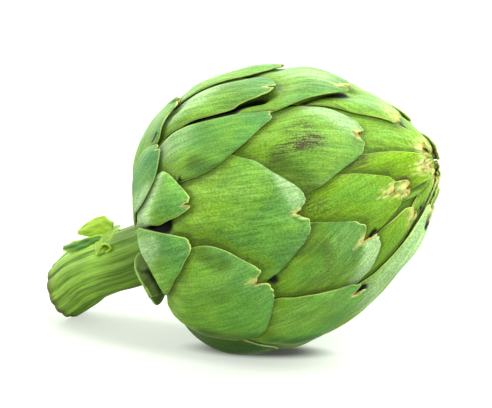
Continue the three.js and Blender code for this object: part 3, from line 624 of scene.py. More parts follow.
def cover(direction, above, gap):
    """Depth that clears every bract in `above`, and how bare the place is (1 = nothing on it)."""
    total = np.zeros(direction.shape[:-1])
    bare = np.ones_like(total)
    for bract in above:
        t, u, outside = bract.locate(direction)
        if outside.min() > EDGE_ROOM + bract.ease:
            continue
        hold = 1 - smooth(EDGE_ROOM, EDGE_ROOM + bract.ease, outside)
        inner = bract.sample(bract.depth, t, u) + bract.thickness(t, u) + gap
        total += np.maximum(inner * hold, 0) ** LAYER_BLEND
        bare = np.minimum(bare, 1 - hold)
    return total ** (1 / LAYER_BLEND), bare


def faired(depth, passes):
    """The depths with their dips evened out, never shallower than before."""
    for _ in range(passes):
        wide = np.pad(depth, 1, mode="edge")
        mean = sum(wide[1 + i:wide.shape[0] - 1 + i, 1 + j:wide.shape[1] - 1 + j]
                   for i in (-1, 0, 1) for j in (-1, 0, 1)) / 9
        depth = np.maximum(depth, mean)
    return depth


def lay(bract, above):
    bract.stations()
    look = settings().bracts
    t, u = np.meshgrid(bract.rows, bract.columns, indexing="ij")
    direction = bract.direction(t, u)
    depth, bare = cover(direction, above, look.gap / MM)
    depth = faired(depth, FAIRING)
    along, across = t * bract.length, u * bract.half_width(t, u)
    swell = BULGE * bract.broadest * (1 - u * u) * smooth(0, SWELL_FROM, t)
    dents = look.dents / MM * ripple(across, along * DENTS["along"], bract.seed, DENTS["hump"])
    depth = depth - bare * (swell + dents) + strokes(direction, bract.pressed)
    bract.bare = bare
    bract.depth = np.maximum(depth, head_radius(direction) - ground_radius(direction))
    bract.raised = (bract.lift * bare * (1 - smooth(0, bract.lift_from, t))
                    + strokes(direction, bract.raised))


def ring_bracts(ring, random):
    """The bracts of one ring, as rows like those listed one by one."""
    for index in range(ring["count"]):
        start, stop = ring["turns"]
        turn = start + (stop - start) * index / (ring["count"] - 1) + SCATTER["turn"] * next(random)
        width = ring["half"] * (1 + SCATTER["width"] * next(random))
        tip = (ring["tip"] + SCATTER["tip"] * next(random), turn)
        root = (ring["root"], turn + SCATTER["turn"] * next(random))
        half = (width, width * (1 + SCATTER["width"] * next(random)))
        full = RING_FULL + SCATTER["full"] * next(random)
        yield {"tip": tip, "root": root, "half": half, "full": full, "nick": ring["nick"],
               "nick_at": SCATTER["nick_at"] * next(random), "lift": ring["lift"]}


def seeded_random(seed):
    """The same draws between -1 and 1 each time."""
    state = seed
    while True:
        state = (state * 1664525 + 1013904223) % 4294967296
        yield state / 4294967296 * 2 - 1


@functools.cache
def head_bracts():
    """Every bract of the head, laid, the outermost first."""
    random = seeded_random(SEED)
    bracts = []
    for ring_name, ring in RINGS.items():
        specs = BY_HAND[ring_name] + list(ring_bracts(ring, random))
        for index, spec in enumerate(specs):
            name = f"{ring_name}_bract_{index + 1}"
            bracts.append(Bract(name, len(bracts) + 1,
                                {**spec, **DETAILS.get(name, {}), "ring": ring_name}))
    bracts.sort(key=lambda bract: -bract.tip[0] - bract.over)
    for index, bract in enumerate(bracts):
        lay(bract, bracts[:index])
    return bracts


# ---- Meshes ----
# Every point stores what the materials need. leaf_mm: its place across and along the leaf, and a
# number that sets one leaf's pattern apart. zone_mm: on a bract, the distances from its margin and its
# notch and how bare it is; on the stem, the height of the ridge, the distance from the cut and from
# the cut's middle; on the torn leaf, the distance from its margin and how young it is. marks: stained,
# painted shade, and wax with painted highlight. kind: tone with painted shade or light, and warm.


def blade_faces(rows, columns):
    """Faces of a blade's outer and inner grids, which share their outline. The inner grid's inside
    points come after the outer grid's."""
    outer = np.arange(rows * columns).reshape(rows, columns)
    inner = outer.copy()
    inside = (rows - 2) * (columns - 2)
    inner[1:-1, 1:-1] = rows * columns + np.arange(inside).reshape(rows - 2, columns - 2)
    outer_faces, inner_faces = (
        np.stack([grid[:-1, :-1], grid[1:, :-1], grid[1:, 1:], grid[:-1, 1:]], -1).reshape(-1, 4)
        for grid in (outer, inner))
    return outer_faces, inner_faces[:, ::-1]


def ring_faces(rings, around):
    """Faces between rings of points, each closed on itself."""
    grid = np.arange(rings * around).reshape(rings, around)
    beside = np.roll(grid, -1, 1)
    return np.stack([grid[:-1], grid[1:], beside[1:], beside[:-1]], -1).reshape(-1, 4)


def on_both_faces(*grids):
    """Three grids of values as one vector for each point of a blade, in blade_faces' order."""
    shape = next(grid.shape for grid in grids if np.ndim(grid))
    grids = [np.broadcast_to(grid, shape) for grid in grids]
    return np.stack([np.concatenate([grid.ravel(), grid[1:-1, 1:-1].ravel()]) for grid in grids], -1)


def blade_points(outer, inner):
    """Points of a blade, in blade_faces' order."""
    return np.concatenate([outer.reshape(-1, 3), inner[1:-1, 1:-1].reshape(-1, 3)])


def plain_part(points, faces, zone, material=0):
    """A part without marks: (points, faces, attributes, face materials)."""
    nothing = np.zeros((len(points), 3))
    zone = np.broadcast_to(zone, nothing.shape)
    attributes = {"leaf_mm": points, "zone_mm": zone, "marks": nothing, "kind": nothing}
    return points, faces, attributes, np.full(len(faces), material)


def add_piece(name, node, materials, parts, welded=False):
    """One smooth piece from parts in mm, measured from the head centre, in place of a node."""
    points, faces, attributes, face_materials = zip(*parts)
    starts = np.cumsum([0] + [len(part) for part in points[:-1]])
    faces = np.concatenate([part + start for part, start in zip(faces, starts)])
    mesh = bpy.data.meshes.new(name)
    mesh.from_pydata(((np.concatenate(points) + HEAD_PLACE) * MM).tolist(), [], faces.tolist())
    for key in attributes[0]:
        values = np.concatenate([part[key] for part in attributes])
        layer = mesh.attributes.new(key, "FLOAT_VECTOR", "POINT")
        layer.data.foreach_set("vector", values.astype(float).ravel())
    for material in materials:
        mesh.materials.append(material)
    mesh.polygons.foreach_set("material_index", np.concatenate(face_materials))
    mesh.polygons.foreach_set("use_smooth", [True] * len(mesh.polygons))
    mesh.update()
    if welded:
        weld(mesh)
    piece = bpy.data.objects.new(name, mesh)
    bpy.context.scene.collection.objects.link(piece)
    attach(piece, "root")
    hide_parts(node)


def weld(mesh):
    """Merges doubled points and turns every face outwards."""
    work = bmesh.new()
    work.from_mesh(mesh)
    bmesh.ops.remove_doubles(work, verts=work.verts, dist=1e-6)
    bmesh.ops.recalc_face_normals(work, faces=work.faces)
    work.to_mesh(mesh)
    work.free()


def bract_part(bract):
    """One laid bract: points, faces, attributes and face materials."""
    look = settings().bracts
    t, u = np.meshgrid(bract.rows, bract.columns, indexing="ij")
    direction = bract.direction(t, u)
    thick = bract.thickness(t, u)
    width = bract.half_width(t, u)
    along, across = t * bract.length, u * width
    from_nick = (u - bract.nick_at) * width
    beside, before = bract.rim(t, u)
    close = np.clip(np.minimum(beside, before) / (look.edge / MM * ROUNDING), 0, 1)
    fullness = np.sqrt(1 - (1 - close) ** 2)
    crinkle = (CRINKLE["height"] * bract.dry
               * ripple(across, along, bract.seed + SEEDS["crinkle"], CRINKLE["hump"])
               * np.exp(-((from_nick / CRINKLE["reach"]) ** 2) - (along / CRINKLE["reach"]) ** 2))
    sway = VEINS["sway"] * ripple(across, along, bract.seed + SEEDS["veins"], VEINS["hump"])
    veins = (look.veins / MM * np.sin(across * VEINS["turn"] + sway) * fullness * bract.bare
             * smooth(0, VEINS["edge"], beside) * smooth(0, VEINS["tip"], along))
    depth = bract.depth - bract.raised - veins - crinkle
    outer_radius = np.minimum(head_radius(direction) - depth - (1 - fullness) * thick / 2,
                              ground_radius(direction))
    outer = direction * outer_radius[..., None]
    inner = direction * (outer_radius - thick * fullness)[..., None]
    outer_faces, inner_faces = blade_faces(*t.shape)
    a, b, c = outer[1, 1], outer[2, 1], outer[2, 2]
    if np.cross(b - a, c - a) @ direction[1, 1] < 0:
        outer_faces, inner_faces = outer_faces[:, ::-1], inner_faces[:, ::-1]
    edge = np.minimum(beside, along) / (
        1 + MARGIN_AT_TIP["more"] * np.exp(-along / MARGIN_AT_TIP["reach"]))
    notch = np.hypot(from_nick * NOTCH_SHAPE[0], along * NOTCH_SHAPE[1]) / max(bract.dry, 0.01)
    # The marks: bruise, painted shade, and wax with painted highlight.
    marks = (strokes(direction, marks) for marks in (bract.stained, bract.shaded, bract.waxed))
    attributes = {
        "leaf_mm": on_both_faces(across, along, bract.seed * 7.3),
        "zone_mm": on_both_faces(edge, notch, bract.bare),
        "marks": on_both_faces(*marks),
        "kind": on_both_faces(bract.tone, bract.warm, 0 * t),
    }
    face_materials = np.repeat([0, 1], [len(outer_faces), len(inner_faces)])
    faces = np.concatenate([outer_faces, inner_faces])
    return blade_points(outer, inner), faces, attributes, face_materials


# ---- Materials ----


def add_node(tree, kind, inputs=None, **properties):
    """Adds one node. Each input is linked where a node or a socket is given, and is else set."""
    node = tree.nodes.new("ShaderNode" + kind)
    for name, value in properties.items():
        setattr(node, name, value)
    for key, source in (inputs or {}).items():
        if isinstance(source, bpy.types.Node):
            source = next(socket for socket in source.outputs if socket.enabled)
        if isinstance(source, bpy.types.NodeSocket):
            tree.links.new(source, node.inputs[key])
        else:
            node.inputs[key].default_value = source
    return node


def stored(tree, name):
    """A stored vector, and its three values."""
    vector = add_node(tree, "Attribute", attribute_name=name).outputs["Vector"]
    return vector, *add_node(tree, "SeparateXYZ", {0: vector}).outputs


def pattern(tree, place, size, detail=2.0):
    """Noise whose grains have the given size along each axis, in mm."""
    scaled = add_node(tree, "VectorMath", {0: place, 1: [1 / length for length in size]},
                      operation="MULTIPLY")
    return add_node(tree, "TexNoise", {"Vector": scaled, "Scale": 1.0, "Detail": detail})


def steps(tree, *ramps):
    """Soft steps multiplied: (value, start, stop), and low and high where they aren't 0 and 1."""
    total = None
    for value, start, stop, *ends in ramps:
        low, high = ends or (0.0, 1.0)
        step = add_node(tree, "MapRange", {0: value, 1: start, 2: stop, 3: low, 4: high},
                        interpolation_type="SMOOTHSTEP")
        total = step if total is None else add_node(tree, "Math", {0: total, 1: step},
                                                    operation="MULTIPLY")
    return total


def total_of(tree, *terms, base=0.0):
    """Values added up, each times its weight."""
    total = base
    for value, weight in terms:
        total = add_node(tree, "Math", {0: value, 1: weight, 2: total}, operation="MULTIPLY_ADD")
    return total


def painted(tree, colour, *layers):
    """A colour with others laid over it, each by its amount."""
    for paint, amount in layers:
        colour = add_node(tree, "Mix", {0: amount, 6: colour, 7: paint}, data_type="RGBA")
    return colour


def new_material(name):
    material = bpy.data.materials.new(name)
    material.use_nodes = True
    material.node_tree.nodes.clear()
    return material, material.node_tree


def surface(tree, colour, relief, strength, depth, values):
    """The shader, with a colour and a fine relief of some depth in mm."""
    bump = add_node(tree, "Bump", {"Strength": strength, "Distance": depth * MM, "Height": relief})
    shader = add_node(tree, "BsdfPrincipled", {"Base Color": colour, "Normal": bump, **values})
    add_node(tree, "OutputMaterial", {"Surface": shader})


def bract_skin(name, tip_green, bloom_amount, shine):
    """The waxy outer skin of a bract."""
    look = settings().bracts
    material, tree = new_material(name)
    leaf, _across, along, _seed = stored(tree, "leaf_mm")
    _, edge, notch, bare = stored(tree, "zone_mm")
    _, stained, shaded, waxed = stored(tree, "marks")
    _, tone, warm, _unused = stored(tree, "kind")
    fibres = pattern(tree, leaf, (0.4, 6, 1), 3.0)  # coarser than real fibres, so that they show
    streaks = pattern(tree, leaf, (1.1, 20, 1), 3.0)
    clouds = pattern(tree, leaf, (8, 13, 1), 3.0)
    patches = pattern(tree, leaf, (15, 22, 3))
    grain = pattern(tree, leaf, (0.4, 0.55, 1))  # coarser than the real skin's cells
    fray = pattern(tree, leaf, (0.8, 1.9, 1), 3.0)
    fine = total_of(tree, (fibres, 0.4), (grain, 0.6))
    streaky = total_of(tree, (fibres, 0.65), (grain, 0.35))

    # Cool towards the tip, yellower towards the root, in uneven patches, under streaks of wax, and
    # with a painted highlight along lit edges and rims.
    shifted = total_of(tree, (clouds, 30), (along, 1))
    mood = total_of(tree, (warm, 1), (steps(tree, (patches, 0.3, 0.7, -0.45, 0.45)), 1))
    wax_and_highlight = steps(tree, (patches, 0.35, 0.65, 0.35, 1.0), (streaks, 0.2, 0.8, 0.4, 1.0))
    wax_and_highlight = total_of(tree, (wax_and_highlight, bloom_amount), (waxed, 1))
    colour = painted(
        tree, look.green,
        (look.root_green, steps(tree, (shifted, 32, 60, 0.0, 0.85))),
        (tip_green, steps(tree, (shifted, 30, 13, 0.0, 0.8))),
        (look.warm_green, steps(tree, (mood, 0.0, 1.2, 0.0, 0.7))),
        (look.cool_green, steps(tree, (mood, 0.0, -1.2, 0.0, 0.8))),
        (look.root_green, steps(tree, (bare, 0.6, 0.1, 0.0, 0.6))),
        (look.bloom_and_highlight, steps(tree, (wax_and_highlight, 0.0, 1.0, 0.0, 0.9))))

    # Fibres, grain and clouds, the bract's own tone with its painted shade or light, painted shade
    # just beside the margins of the bracts that lie on it, and the dark strokes of painted shade.
    shade = steps(tree, (fine, 0.34, 0.66, 0.67, 1.33), (streaks, 0.3, 0.7, 0.9, 1.1),
                  (clouds, 0.3, 0.7, 0.86, 1.14), (bare, 0.0, 0.07, 0.6, 1.0),
                  (bare, 0.0, 0.5, 0.75, 1.0), (shaded, 0.15, 0.9, 1.0, 0.02))
    shade = total_of(tree, (shade, total_of(tree, (tone, 0.4), base=1.0)))
    colour = add_node(tree, "VectorMath", {0: colour, "Scale": shade}, operation="SCALE")

    # Bruises, the dry margin, and the withered notch with its burnt rim.
    ragged_edge = total_of(tree, (grain, 0.3), (edge, 1))
    withered = total_of(tree, (notch, 1), (streaks, 4), (fray, 5))
    burnt = total_of(tree, (notch, 0.6), (edge, 1), (grain, 2))
    colour = painted(
        tree, colour,
        (look.bruise, total_of(tree, (stained, steps(tree, (streaky, 0.6, 0.4))))),
        (look.margin, steps(tree, (ragged_edge, 0.38, 0.18), (patches, 0.4, 0.6, 0.45, 0.95))),
        (look.yellow, steps(tree, (withered, 7.4, 5.2, 0.0, 0.85))),
        (look.brown, steps(tree, (withered, 7.0, 5.4), (fray, 0.53, 0.6, 0.0, 0.8))),
        (look.orange, steps(tree, (burnt, 2.4, 1.7, 0.0, 0.8))),
        (look.brown, steps(tree, (burnt, 1.75, 1.25, 0.0, 0.95))))
    surface(tree, colour, total_of(tree, (fibres, 0.8), (grain, 0.4)), 0.5, 0.25, {
        "Roughness": steps(tree, (fine, 0.2, 0.8, 0.4, 0.6)), "IOR": 1.45,
        "Specular IOR Level": shine, "Subsurface Weight": 0.1,
        "Subsurface Radius": (0.5, 1.0, 0.25), "Subsurface Scale": 0.0012, "Sheen Weight": 0.35,
        "Sheen Roughness": 0.24, "Sheen Tint": linear("#E6FFC8"),
    })
    return material


@functools.cache
def grown_bract_material():
    # Tough leaf tissue under a skin of wax, grown: satin, mid green, cooler towards the tip.
    return bract_skin("Artichoke bract, grown, waxy skin", settings().bracts.tip_green, 0.3, 0.28)


@functools.cache
def young_bract_material():
    # Tender leaf tissue, grown: paler and yellower than the large bracts, with little wax.
    return bract_skin("Artichoke bract, young, tender skin", settings().bracts.root_green, 0.26, 0.2)


@functools.cache
def inner_skin_material():
    # The bract's inner skin, grown out of the light: pale, dull and finely ribbed, with painted shade
    # where its dark strokes lie.
    material, tree = new_material("Artichoke bract, inner skin")
    leaf, *_ = stored(tree, "leaf_mm")
    _, _stained, shaded, _waxed_and_highlight = stored(tree, "marks")
    ribs = pattern(tree, leaf, (0.8, 14, 1))
    shade = steps(tree, (ribs, 0.35, 0.65, 1.0, 0.7), (shaded, 0.15, 0.9, 1.0, 0.05))
    colour = add_node(tree, "VectorMath", {0: settings().bracts.inside[:3], "Scale": shade},
                      operation="SCALE")
    surface(tree, colour, ribs, 0.4, 0.2, {"Roughness": 0.6, "Specular IOR Level": 0.3})
    return material


def stem_material():
    # Fibrous rind, grown in ridges: dull yellow-green, dark in the grooves, dried at the cut, and
    # darker towards the head in painted shade.
    look = settings().stem
    material, tree = new_material("Artichoke stem, ribbed rind")
    place, _turn, travel, _ = stored(tree, "leaf_mm")
    _, ridge, cut, _unused = stored(tree, "zone_mm")
    fibres = pattern(tree, place, (0.55, 12, 1))
    clouds = pattern(tree, place, (7, 16, 1), 3.0)
    strands = pattern(tree, place, (1.5, 50, 1))
    grooved = total_of(tree, (clouds, 0.6), (ridge, 1))
    colour = painted(tree, look.rind, (look.groove, steps(tree, (grooved, 0.5, 0.2, 0.0, 0.7))))
    # The last step is painted shade: the stem is darker where the head and the torn leaf shade it.
    shade = steps(tree, (fibres, 0.3, 0.7, 0.72, 1.18), (clouds, 0.3, 0.7, 0.82, 1.18),
                  (strands, 0.36, 0.48, 0.64, 1.12), (travel, 28, 42, 0.6, 1.0))
    colour = add_node(tree, "VectorMath", {0: colour, "Scale": shade}, operation="SCALE")
    dried = total_of(tree, (fibres, 1.5), (cut, 1))
    colour = painted(tree, colour, (look.dried, steps(tree, (dried, 5.0, 1.1, 0.0, 0.75))))
    surface(tree, colour, fibres, 0.5, 0.3, {
        "Roughness": 0.55, "Specular IOR Level": 0.35, "Subsurface Weight": 0.08,
        "Subsurface Radius": (0.5, 1.0, 0.2), "Subsurface Scale": 0.001,
    })
    return material


def pith_material():
    # Wet fibrous tissue, cut across: pale, with darker strands in a ring.
    look = settings().stem
    material, tree = new_material("Artichoke stem, cut pith")
    place, *_ = stored(tree, "leaf_mm")
    _, _ridge, _cut, radial = stored(tree, "zone_mm")
    strands = pattern(tree, place, (0.9, 0.9, 0.9))
    colour = painted(
        tree, look.pith,
        (look.dried, steps(tree, (radial, 0.55, 0.75), (strands, 0.45, 0.6, 0.0, 0.6))),
        (look.dried, steps(tree, (radial, 0.9, 1.0, 0.0, 0.7))))
    surface(tree, colour, strands, 0.6, 0.3, {"Roughness": 0.65})
    return material


def torn_leaf_material():
    # Thin fresh leaf, torn: bright where it is thin, dark green where it lies.
    look = settings().leaf
    material, tree = new_material("Artichoke leaf, torn blade")
    place, *_ = stored(tree, "leaf_mm")
    _, edge, young, _unused = stored(tree, "zone_mm")
    veins = pattern(tree, place, (1.2, 5, 1), 3.0)
    thin = add_node(tree, "Math", {0: young, 1: steps(tree, (edge, 1.0, 0.3, 0.0, 0.95))},
                    operation="MAXIMUM")
    colour = painted(tree, look.blade, (look.young, thin))
    shade = steps(tree, (veins, 0.3, 0.7, 0.8, 1.15))
    colour = add_node(tree, "VectorMath", {0: colour, "Scale": shade}, operation="SCALE")
    surface(tree, colour, veins, 0.5, 0.3, {
        "Roughness": 0.45, "Specular IOR Level": 0.4, "Subsurface Weight": 0.25,
        "Subsurface Radius": (0.6, 1.0, 0.2), "Subsurface Scale": 0.0015,
    })
    return material


def glow_past(tree, oval, inside, outside):
    """A glow that changes softly across the outline of an oval on the floor; dimmed inside, it paints
    a shadow.
    """
    place = add_node(tree, "NewGeometry").outputs["Position"]
    beside = add_node(tree, "Mapping", {
        "Vector": place, "Location": oval["at"], "Rotation": (0, 0, math.radians(oval["turn"])),
        "Scale": oval["half"]}, vector_type="TEXTURE")
    away = add_node(tree, "VectorMath", {0: beside}, operation="LENGTH")
    return steps(tree, (away, *OVAL_EDGE, inside, outside))


def floor_material():
    # Matt white paper, overexposed as in a light tent: to the eye it glows plain white, with a painted
    # shadow where the glow is dimmed in two ovals round the head, faintly green as shade beside a
    # green thing is. It gives the artichoke less light from below than it seems to.
    material, tree = new_material("White paper, overexposed")
    glow = total_of(tree, (glow_past(tree, PAPER_SHADOW, *PAPER_GLOW),
                           glow_past(tree, PAPER_CONTACT_SHADOW, *CONTACT_GLOW)))
    seen = add_node(tree, "LightPath").outputs["Is Camera Ray"]
    shader = add_node(tree, "BsdfPrincipled", {
        "Base Color": linear("#9DA099"), "Roughness": 0.9, "Specular IOR Level": 0.1,
        "Emission Color": linear("#F0F8EC"), "Emission Strength": total_of(tree, (seen, glow)),
    })
    add_node(tree, "OutputMaterial", {"Surface": shader})
    return material


# ---- Bracts, bud, stem and leaf ----


def build_bracts(young):
    skin = young_bract_material() if young else grown_bract_material()
    made = [bract for bract in head_bracts() if (bract.ring in YOUNG_RINGS) == young]
    for bract in made:
        add_piece(f"{bract.name}_skin", bract.name,
                  [skin, inner_skin_material()], [bract_part(bract)])
    return len(made)


def core_part(keep_front, zone):
    """The tissue inside the bracts, on one side of the split."""
    rings, spokes = CORE_GRID
    angle = np.linspace(0, 180, rings + 1)[:, None]
    turn = np.arange(spokes)[None] * 360 / spokes
    direction = head_direction(angle + 0 * turn, turn + 0 * angle)
    depth, _ = cover(direction, head_bracts(), CORE_GAP)
    depth = faired(np.maximum(depth, CORE_DEPTH), 3)
    points = direction * (head_radius(direction) - depth)[..., None]
    along = points @ LEAF_AXIS
    if keep_front:
        beyond = np.maximum(BUD_SPLIT + SPLIT_GAP - along, 0)
    else:
        beyond = np.minimum(BUD_SPLIT - SPLIT_GAP - along, 0)
    aside = points - LEAF_AXIS * along[..., None]
    away = np.maximum(np.linalg.norm(aside, axis=-1), 1e-6)
    shrunk = np.maximum(1 - np.abs(beyond) / away, 0)
    points = aside * shrunk[..., None] + LEAF_AXIS * (along + beyond)[..., None]
    return plain_part(points.reshape(-1, 3), ring_faces(rings + 1, spokes), zone)


def build_bud():
    laid = list(head_bracts())
    parts = [core_part(True, CORE_ZONE)]
    count = BUD_LEAVES["count"]
    for index in range(count):
        turn = index * 360 * BUD_LEAVES["rounds"] / count
        leaf = Bract(f"bud_leaf_{index + 1}", BUD_LEAVES["seed"] + index, {
            "tip": (BUD_LEAVES["tip"] + index % 2, turn), "root": (BUD_LEAVES["root"], turn),
            **BUD_LEAF, **DETAILS["bud_leaves"]})
        lay(leaf, laid)
        leaf.depth = np.maximum(leaf.depth, BUD_LEAVES["depth"])
        laid.append(leaf)
        parts.append(bract_part(leaf))
    add_piece("inner_bud_leaves", "inner_bud",
              [young_bract_material(), inner_skin_material()], parts)


def spline(points, stations):
    """Points evenly spread along a smooth line through the given ones, and their directions."""
    points = np.array(points, float)
    ends = np.vstack([2 * points[0] - points[1], points, 2 * points[-1] - points[-2]])
    place = np.linspace(0, len(points) - 1 - 1e-9, stations)
    index, part = place.astype(int), (place % 1)[:, None]
    a, b, c, d = (ends[index + step] for step in range(4))
    line = 0.5 * (2 * b + (c - a) * part + (2 * a - 5 * b + 4 * c - d) * part ** 2
                  + (3 * b - a - 3 * c + d) * part ** 3)
    return line, unit(np.gradient(line, axis=0))


def uneven(kind, turn, travel):
    """One kind of the stem's unevenness, round and along it."""
    return kind["height"] * ripple(turn * kind["round"], travel * kind["along"], kind["seed"],
                                   kind["hump"])


def stem_parts():
    """The ribbed tube of the stem, and its cut face."""
    look = settings().stem
    radius, rib = look.radius / MM, look.rib / MM
    stations, around = STEM_GRID
    line, tangent = spline(STEM_PATH, stations)
    side = np.zeros_like(line)
    side[0] = unit(np.cross(tangent[0], LEAF_UP))
    for index in range(1, stations):
        turned = side[index - 1] - tangent[index] * (side[index - 1] @ tangent[index])
        side[index] = unit(turned)
    up = np.cross(tangent, side)
    run = np.concatenate([[0], np.cumsum(np.linalg.norm(np.diff(line, axis=0), axis=1))])
    turn, travel = np.meshgrid(np.arange(around) * 2 * math.pi / around, run)
    ridge = 0.5 + 0.5 * np.cos(turn * STEM_RIBS + uneven(STEM_SWAY, turn, travel))
    reach = (radius + rib * (2 * ridge ** RIB_FLAT - 1) + uneven(STEM_BUMPS, turn, travel)
             + STEM_FLARE["rise"] * smooth(STEM_FLARE["over"], 0, travel))
    points = (line[:, None] + side[:, None] * (reach * np.cos(turn))[..., None]
              + up[:, None] * (reach * np.sin(turn))[..., None])
    normal = unit(CUT_NORMAL)
    past = np.maximum((points - CUT_POINT) @ normal, 0)
    slope = (tangent @ normal)[:, None]
    points = points - tangent[:, None] * (past / slope)[..., None]
    last = int(np.argmax(past.min(axis=1) > 0)) + 1
    points, ridge, travel, turn = (grid[:last] for grid in (points, ridge, travel, turn))
    to_cut = np.maximum(-((points - CUT_POINT) @ normal), 0)
    points[..., 2] = np.maximum(points[..., 2], -HEAD_PLACE[2])
    zone = np.stack([ridge, to_cut, 0 * turn], -1).reshape(-1, 3)
    tube = plain_part(points.reshape(-1, 3), ring_faces(last, around), zone)
    tube[2]["leaf_mm"] = np.stack([turn * radius, travel, 0 * turn], -1).reshape(-1, 3)

    rim = points[-1]
    centre = rim.mean(axis=0)
    rings = CUT_RINGS[:, None, None]
    sunk = CUT_HOLLOW * (1 - rings ** 2) + uneven(CUT_BUMPS, rings, rings)
    cap = centre + (rim - centre)[None] * rings - normal * (sunk * (rings < 1))
    radial = np.repeat(CUT_RINGS, around)
    zone = np.stack([0 * radial, 0 * radial, radial], -1)
    return tube, plain_part(cap.reshape(-1, 3), ring_faces(len(rings), around), zone, material=1)


def build_stem():
    add_piece("stem_rind", "stem", [stem_material(), pith_material()],
              [*stem_parts(), core_part(False, RECEPTACLE_ZONE)], welded=True)


def leaf_lobe(blade, index):
    """One lobe of the torn leaf."""
    rows, columns = BLADE_GRID
    line, tangent = spline(blade["line"], rows)
    station = np.linspace(0, len(blade["half"]) - 1, rows)
    half = np.interp(station, np.arange(len(blade["half"])), blade["half"])
    scallop = np.sin(np.arange(rows) * BLADE_SCALLOP["pitch"] + index)
    half = half * (1 + BLADE_SCALLOP["share"] * scallop)
    across = unit(np.array(blade["across"], float))
    normal = unit(np.cross(tangent, across))
    u = np.linspace(-1, 1, columns)
    side = u[None] * half[:, None]
    beside = (1 - np.abs(u))[None] * half[:, None]
    ends = np.minimum(np.arange(rows), np.arange(rows)[::-1])[:, None] * BLADE_END
    thick = settings().leaf.thickness / MM
    close = np.clip(np.minimum(beside, ends) / (thick * ROUNDING), 0, 1)
    fullness = np.sqrt(1 - (1 - close) ** 2)
    wave = (BLADE_WAVE["height"] * np.sin(u * BLADE_WAVE["across"])[None]
            * np.sin(station * BLADE_WAVE["along"] + index)[:, None])
    raised = blade["cup"] * u[None] ** 2 * (half / half.max())[:, None] + wave
    middle = line[:, None] + across * side[..., None]
    outer, inner = (middle + normal[:, None] * (raised + thick * (1 + part * fullness) / 2)[..., None]
                    for part in (1, -1))
    along = np.repeat(np.arange(rows)[:, None] * BLADE_ROW, columns, axis=1)
    points = blade_points(outer, inner)
    faces = np.concatenate(blade_faces(rows, columns))
    zone = on_both_faces(beside, blade["young"], 0 * side)
    lobe = plain_part(points, faces, zone)
    lobe[2]["leaf_mm"] = on_both_faces(side, along, index * 9)
    return lobe


def build_leaf():
    lobes = [leaf_lobe(blade, index) for index, blade in enumerate(LEAF_BLADES)]
    add_piece("stem_leaf_blade", "stem_leaf", [torn_leaf_material()], lobes, welded=True)


# ---- Stage ----


def build_floor(side):
    half = side / 2
    mesh = bpy.data.meshes.new("floor")
    mesh.from_pydata([(-half, -half, 0), (half, -half, 0), (half, half, 0), (-half, half, 0)], [],
                     [(0, 1, 2, 3)])
    mesh.materials.append(floor_material())
    floor = bpy.data.objects.new("floor", mesh)
    bpy.context.scene.collection.objects.link(floor)


def build_surround(strength):
    """White all round to the eye, and lighter behind the artichoke than before it."""
    world = bpy.data.worlds.new("White surround")
    world.use_nodes = True
    tree = world.node_tree
    sight = add_node(tree, "TexCoord").outputs["Generated"]
    side = add_node(tree, "VectorMath", {0: sight, 1: SURROUND["front"]}, operation="DOT_PRODUCT")
    back, front = SURROUND["levels"]
    level = steps(tree, (side, *SURROUND["change"], strength * back, strength * front))
    seen = add_node(tree, "LightPath").outputs["Is Camera Ray"]
    level = add_node(tree, "Math", {0: level, 1: seen}, operation="MAXIMUM")
    background = tree.nodes["Background"]
    background.inputs["Color"].default_value = (1, 1, 1, 1)
    tree.links.new(level.outputs[0], background.inputs["Strength"])
    bpy.context.scene.world = world


def add_softbox(name, power):
    """A square area light that faces the head."""
    lamp = bpy.data.lights.new(name, "AREA")
    lamp.size = SOFTBOXES[name]["side"]
    lamp.energy = power
    light = bpy.data.objects.new(name, lamp)
    light.location = SOFTBOXES[name]["place"]
    aim = Vector(HEAD_PLACE * MM) - light.location
    light.rotation_euler = aim.to_track_quat("-Z", "Y").to_euler()
    bpy.context.scene.collection.objects.link(light)


def add_camera(lens, distance):
    """The camera, aimed at the head centre. Azimuth 0 looks along +Y."""
    camera_data = bpy.data.cameras.new("Camera")
    camera_data.lens = lens
    camera_data.shift_x, camera_data.shift_y = CAMERA["shift"]
    camera = bpy.data.objects.new("Camera", camera_data)
    azimuth, elevation = math.radians(CAMERA["azimuth"]), math.radians(CAMERA["elevation"])
    right = np.array([math.cos(azimuth), math.sin(azimuth), 0])
    back = np.array([math.sin(azimuth) * math.cos(elevation),
                     -math.cos(azimuth) * math.cos(elevation), math.sin(elevation)])
    matrix = np.eye(4)
    matrix[:3] = np.stack([right, np.cross(back, right), back, HEAD_PLACE * MM + back * distance], 1)
    camera.matrix_world = Matrix(matrix.tolist())
    bpy.context.scene.collection.objects.link(camera)
    bpy.context.scene.camera = camera


def build_stage():
    look = settings().stage
    build_floor(look.floor)
    build_surround(look.surround)
    add_softbox("Overhead softbox", look.key_power)
    add_softbox("Side softbox", look.side_power)
    add_camera(look.lens, look.distance)
    bpy.context.scene.view_settings.view_transform = "Standard"


# ---- Operators ----


class ARTICHOKE_OT_outer_bracts(bpy.types.Operator):
    """Builds the grown bracts of the head"""

    bl_idname = "artichoke.outer_bracts"
    bl_label = "Outer bracts"

    def execute(self, context):
        if build_bracts(young=False) == 0:
            raise RuntimeError("no grown bract was built")
        return {"FINISHED"}


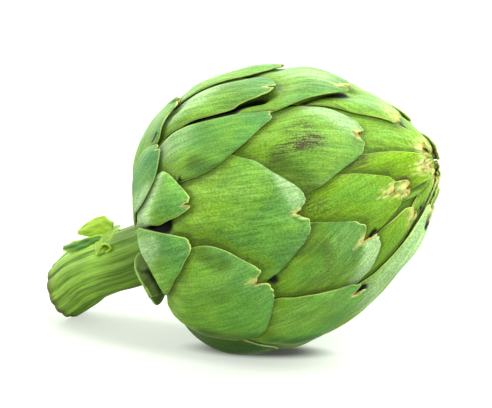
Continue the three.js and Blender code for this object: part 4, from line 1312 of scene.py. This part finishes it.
class ARTICHOKE_OT_young_bracts(bpy.types.Operator):
    """Builds the young bracts that close the head"""

    bl_idname = "artichoke.young_bracts"
    bl_label = "Young bracts"

    def execute(self, context):
        if build_bracts(young=True) == 0:
            raise RuntimeError("no young bract was built")
        return {"FINISHED"}


class ARTICHOKE_OT_inner_bud(bpy.types.Operator):
    """Builds the bud inside the bracts"""

    bl_idname = "artichoke.inner_bud"
    bl_label = "Inner bud"

    def execute(self, context):
        build_bud()
        return {"FINISHED"}


class ARTICHOKE_OT_stem(bpy.types.Operator):
    """Builds the cut stem"""

    bl_idname = "artichoke.stem"
    bl_label = "Stem"

    def execute(self, context):
        build_stem()
        return {"FINISHED"}


class ARTICHOKE_OT_torn_leaf(bpy.types.Operator):
    """Builds the torn leaf on the stem"""

    bl_idname = "artichoke.torn_leaf"
    bl_label = "Torn leaf"

    def execute(self, context):
        build_leaf()
        return {"FINISHED"}


class ARTICHOKE_OT_stage(bpy.types.Operator):
    """Sets the floor, the light and the camera"""

    bl_idname = "artichoke.stage"
    bl_label = "Stage"

    def execute(self, context):
        build_stage()
        return {"FINISHED"}


class ARTICHOKE_PT_panel(bpy.types.Panel):
    """Lists the pieces of the artichoke"""

    bl_idname = "ARTICHOKE_PT_panel"
    bl_label = "Artichoke"
    bl_space_type = "VIEW_3D"
    bl_region_type = "UI"
    bl_category = "Artichoke"

    def draw(self, context):
        for operator in OPERATORS:
            self.layout.operator(operator.bl_idname)


OPERATORS = (ARTICHOKE_OT_outer_bracts, ARTICHOKE_OT_young_bracts, ARTICHOKE_OT_inner_bud,
             ARTICHOKE_OT_stem, ARTICHOKE_OT_torn_leaf, ARTICHOKE_OT_stage)
CLASSES = (BractSettings, StemSettings, LeafSettings, StageSettings, ArtichokeSettings, *OPERATORS,
           ARTICHOKE_PT_panel)


def register():
    for cls in CLASSES:
        bpy.utils.register_class(cls)
    bpy.types.Scene.artichoke = PointerProperty(type=ArtichokeSettings)


def unregister():
    del bpy.types.Scene.artichoke
    for cls in reversed(CLASSES):
        bpy.utils.unregister_class(cls)


def main():
    register()
    for operator in OPERATORS:
        group, name = operator.bl_idname.split(".")
        getattr(getattr(bpy.ops, group), name)()


if __name__ == "__main__":
    main()
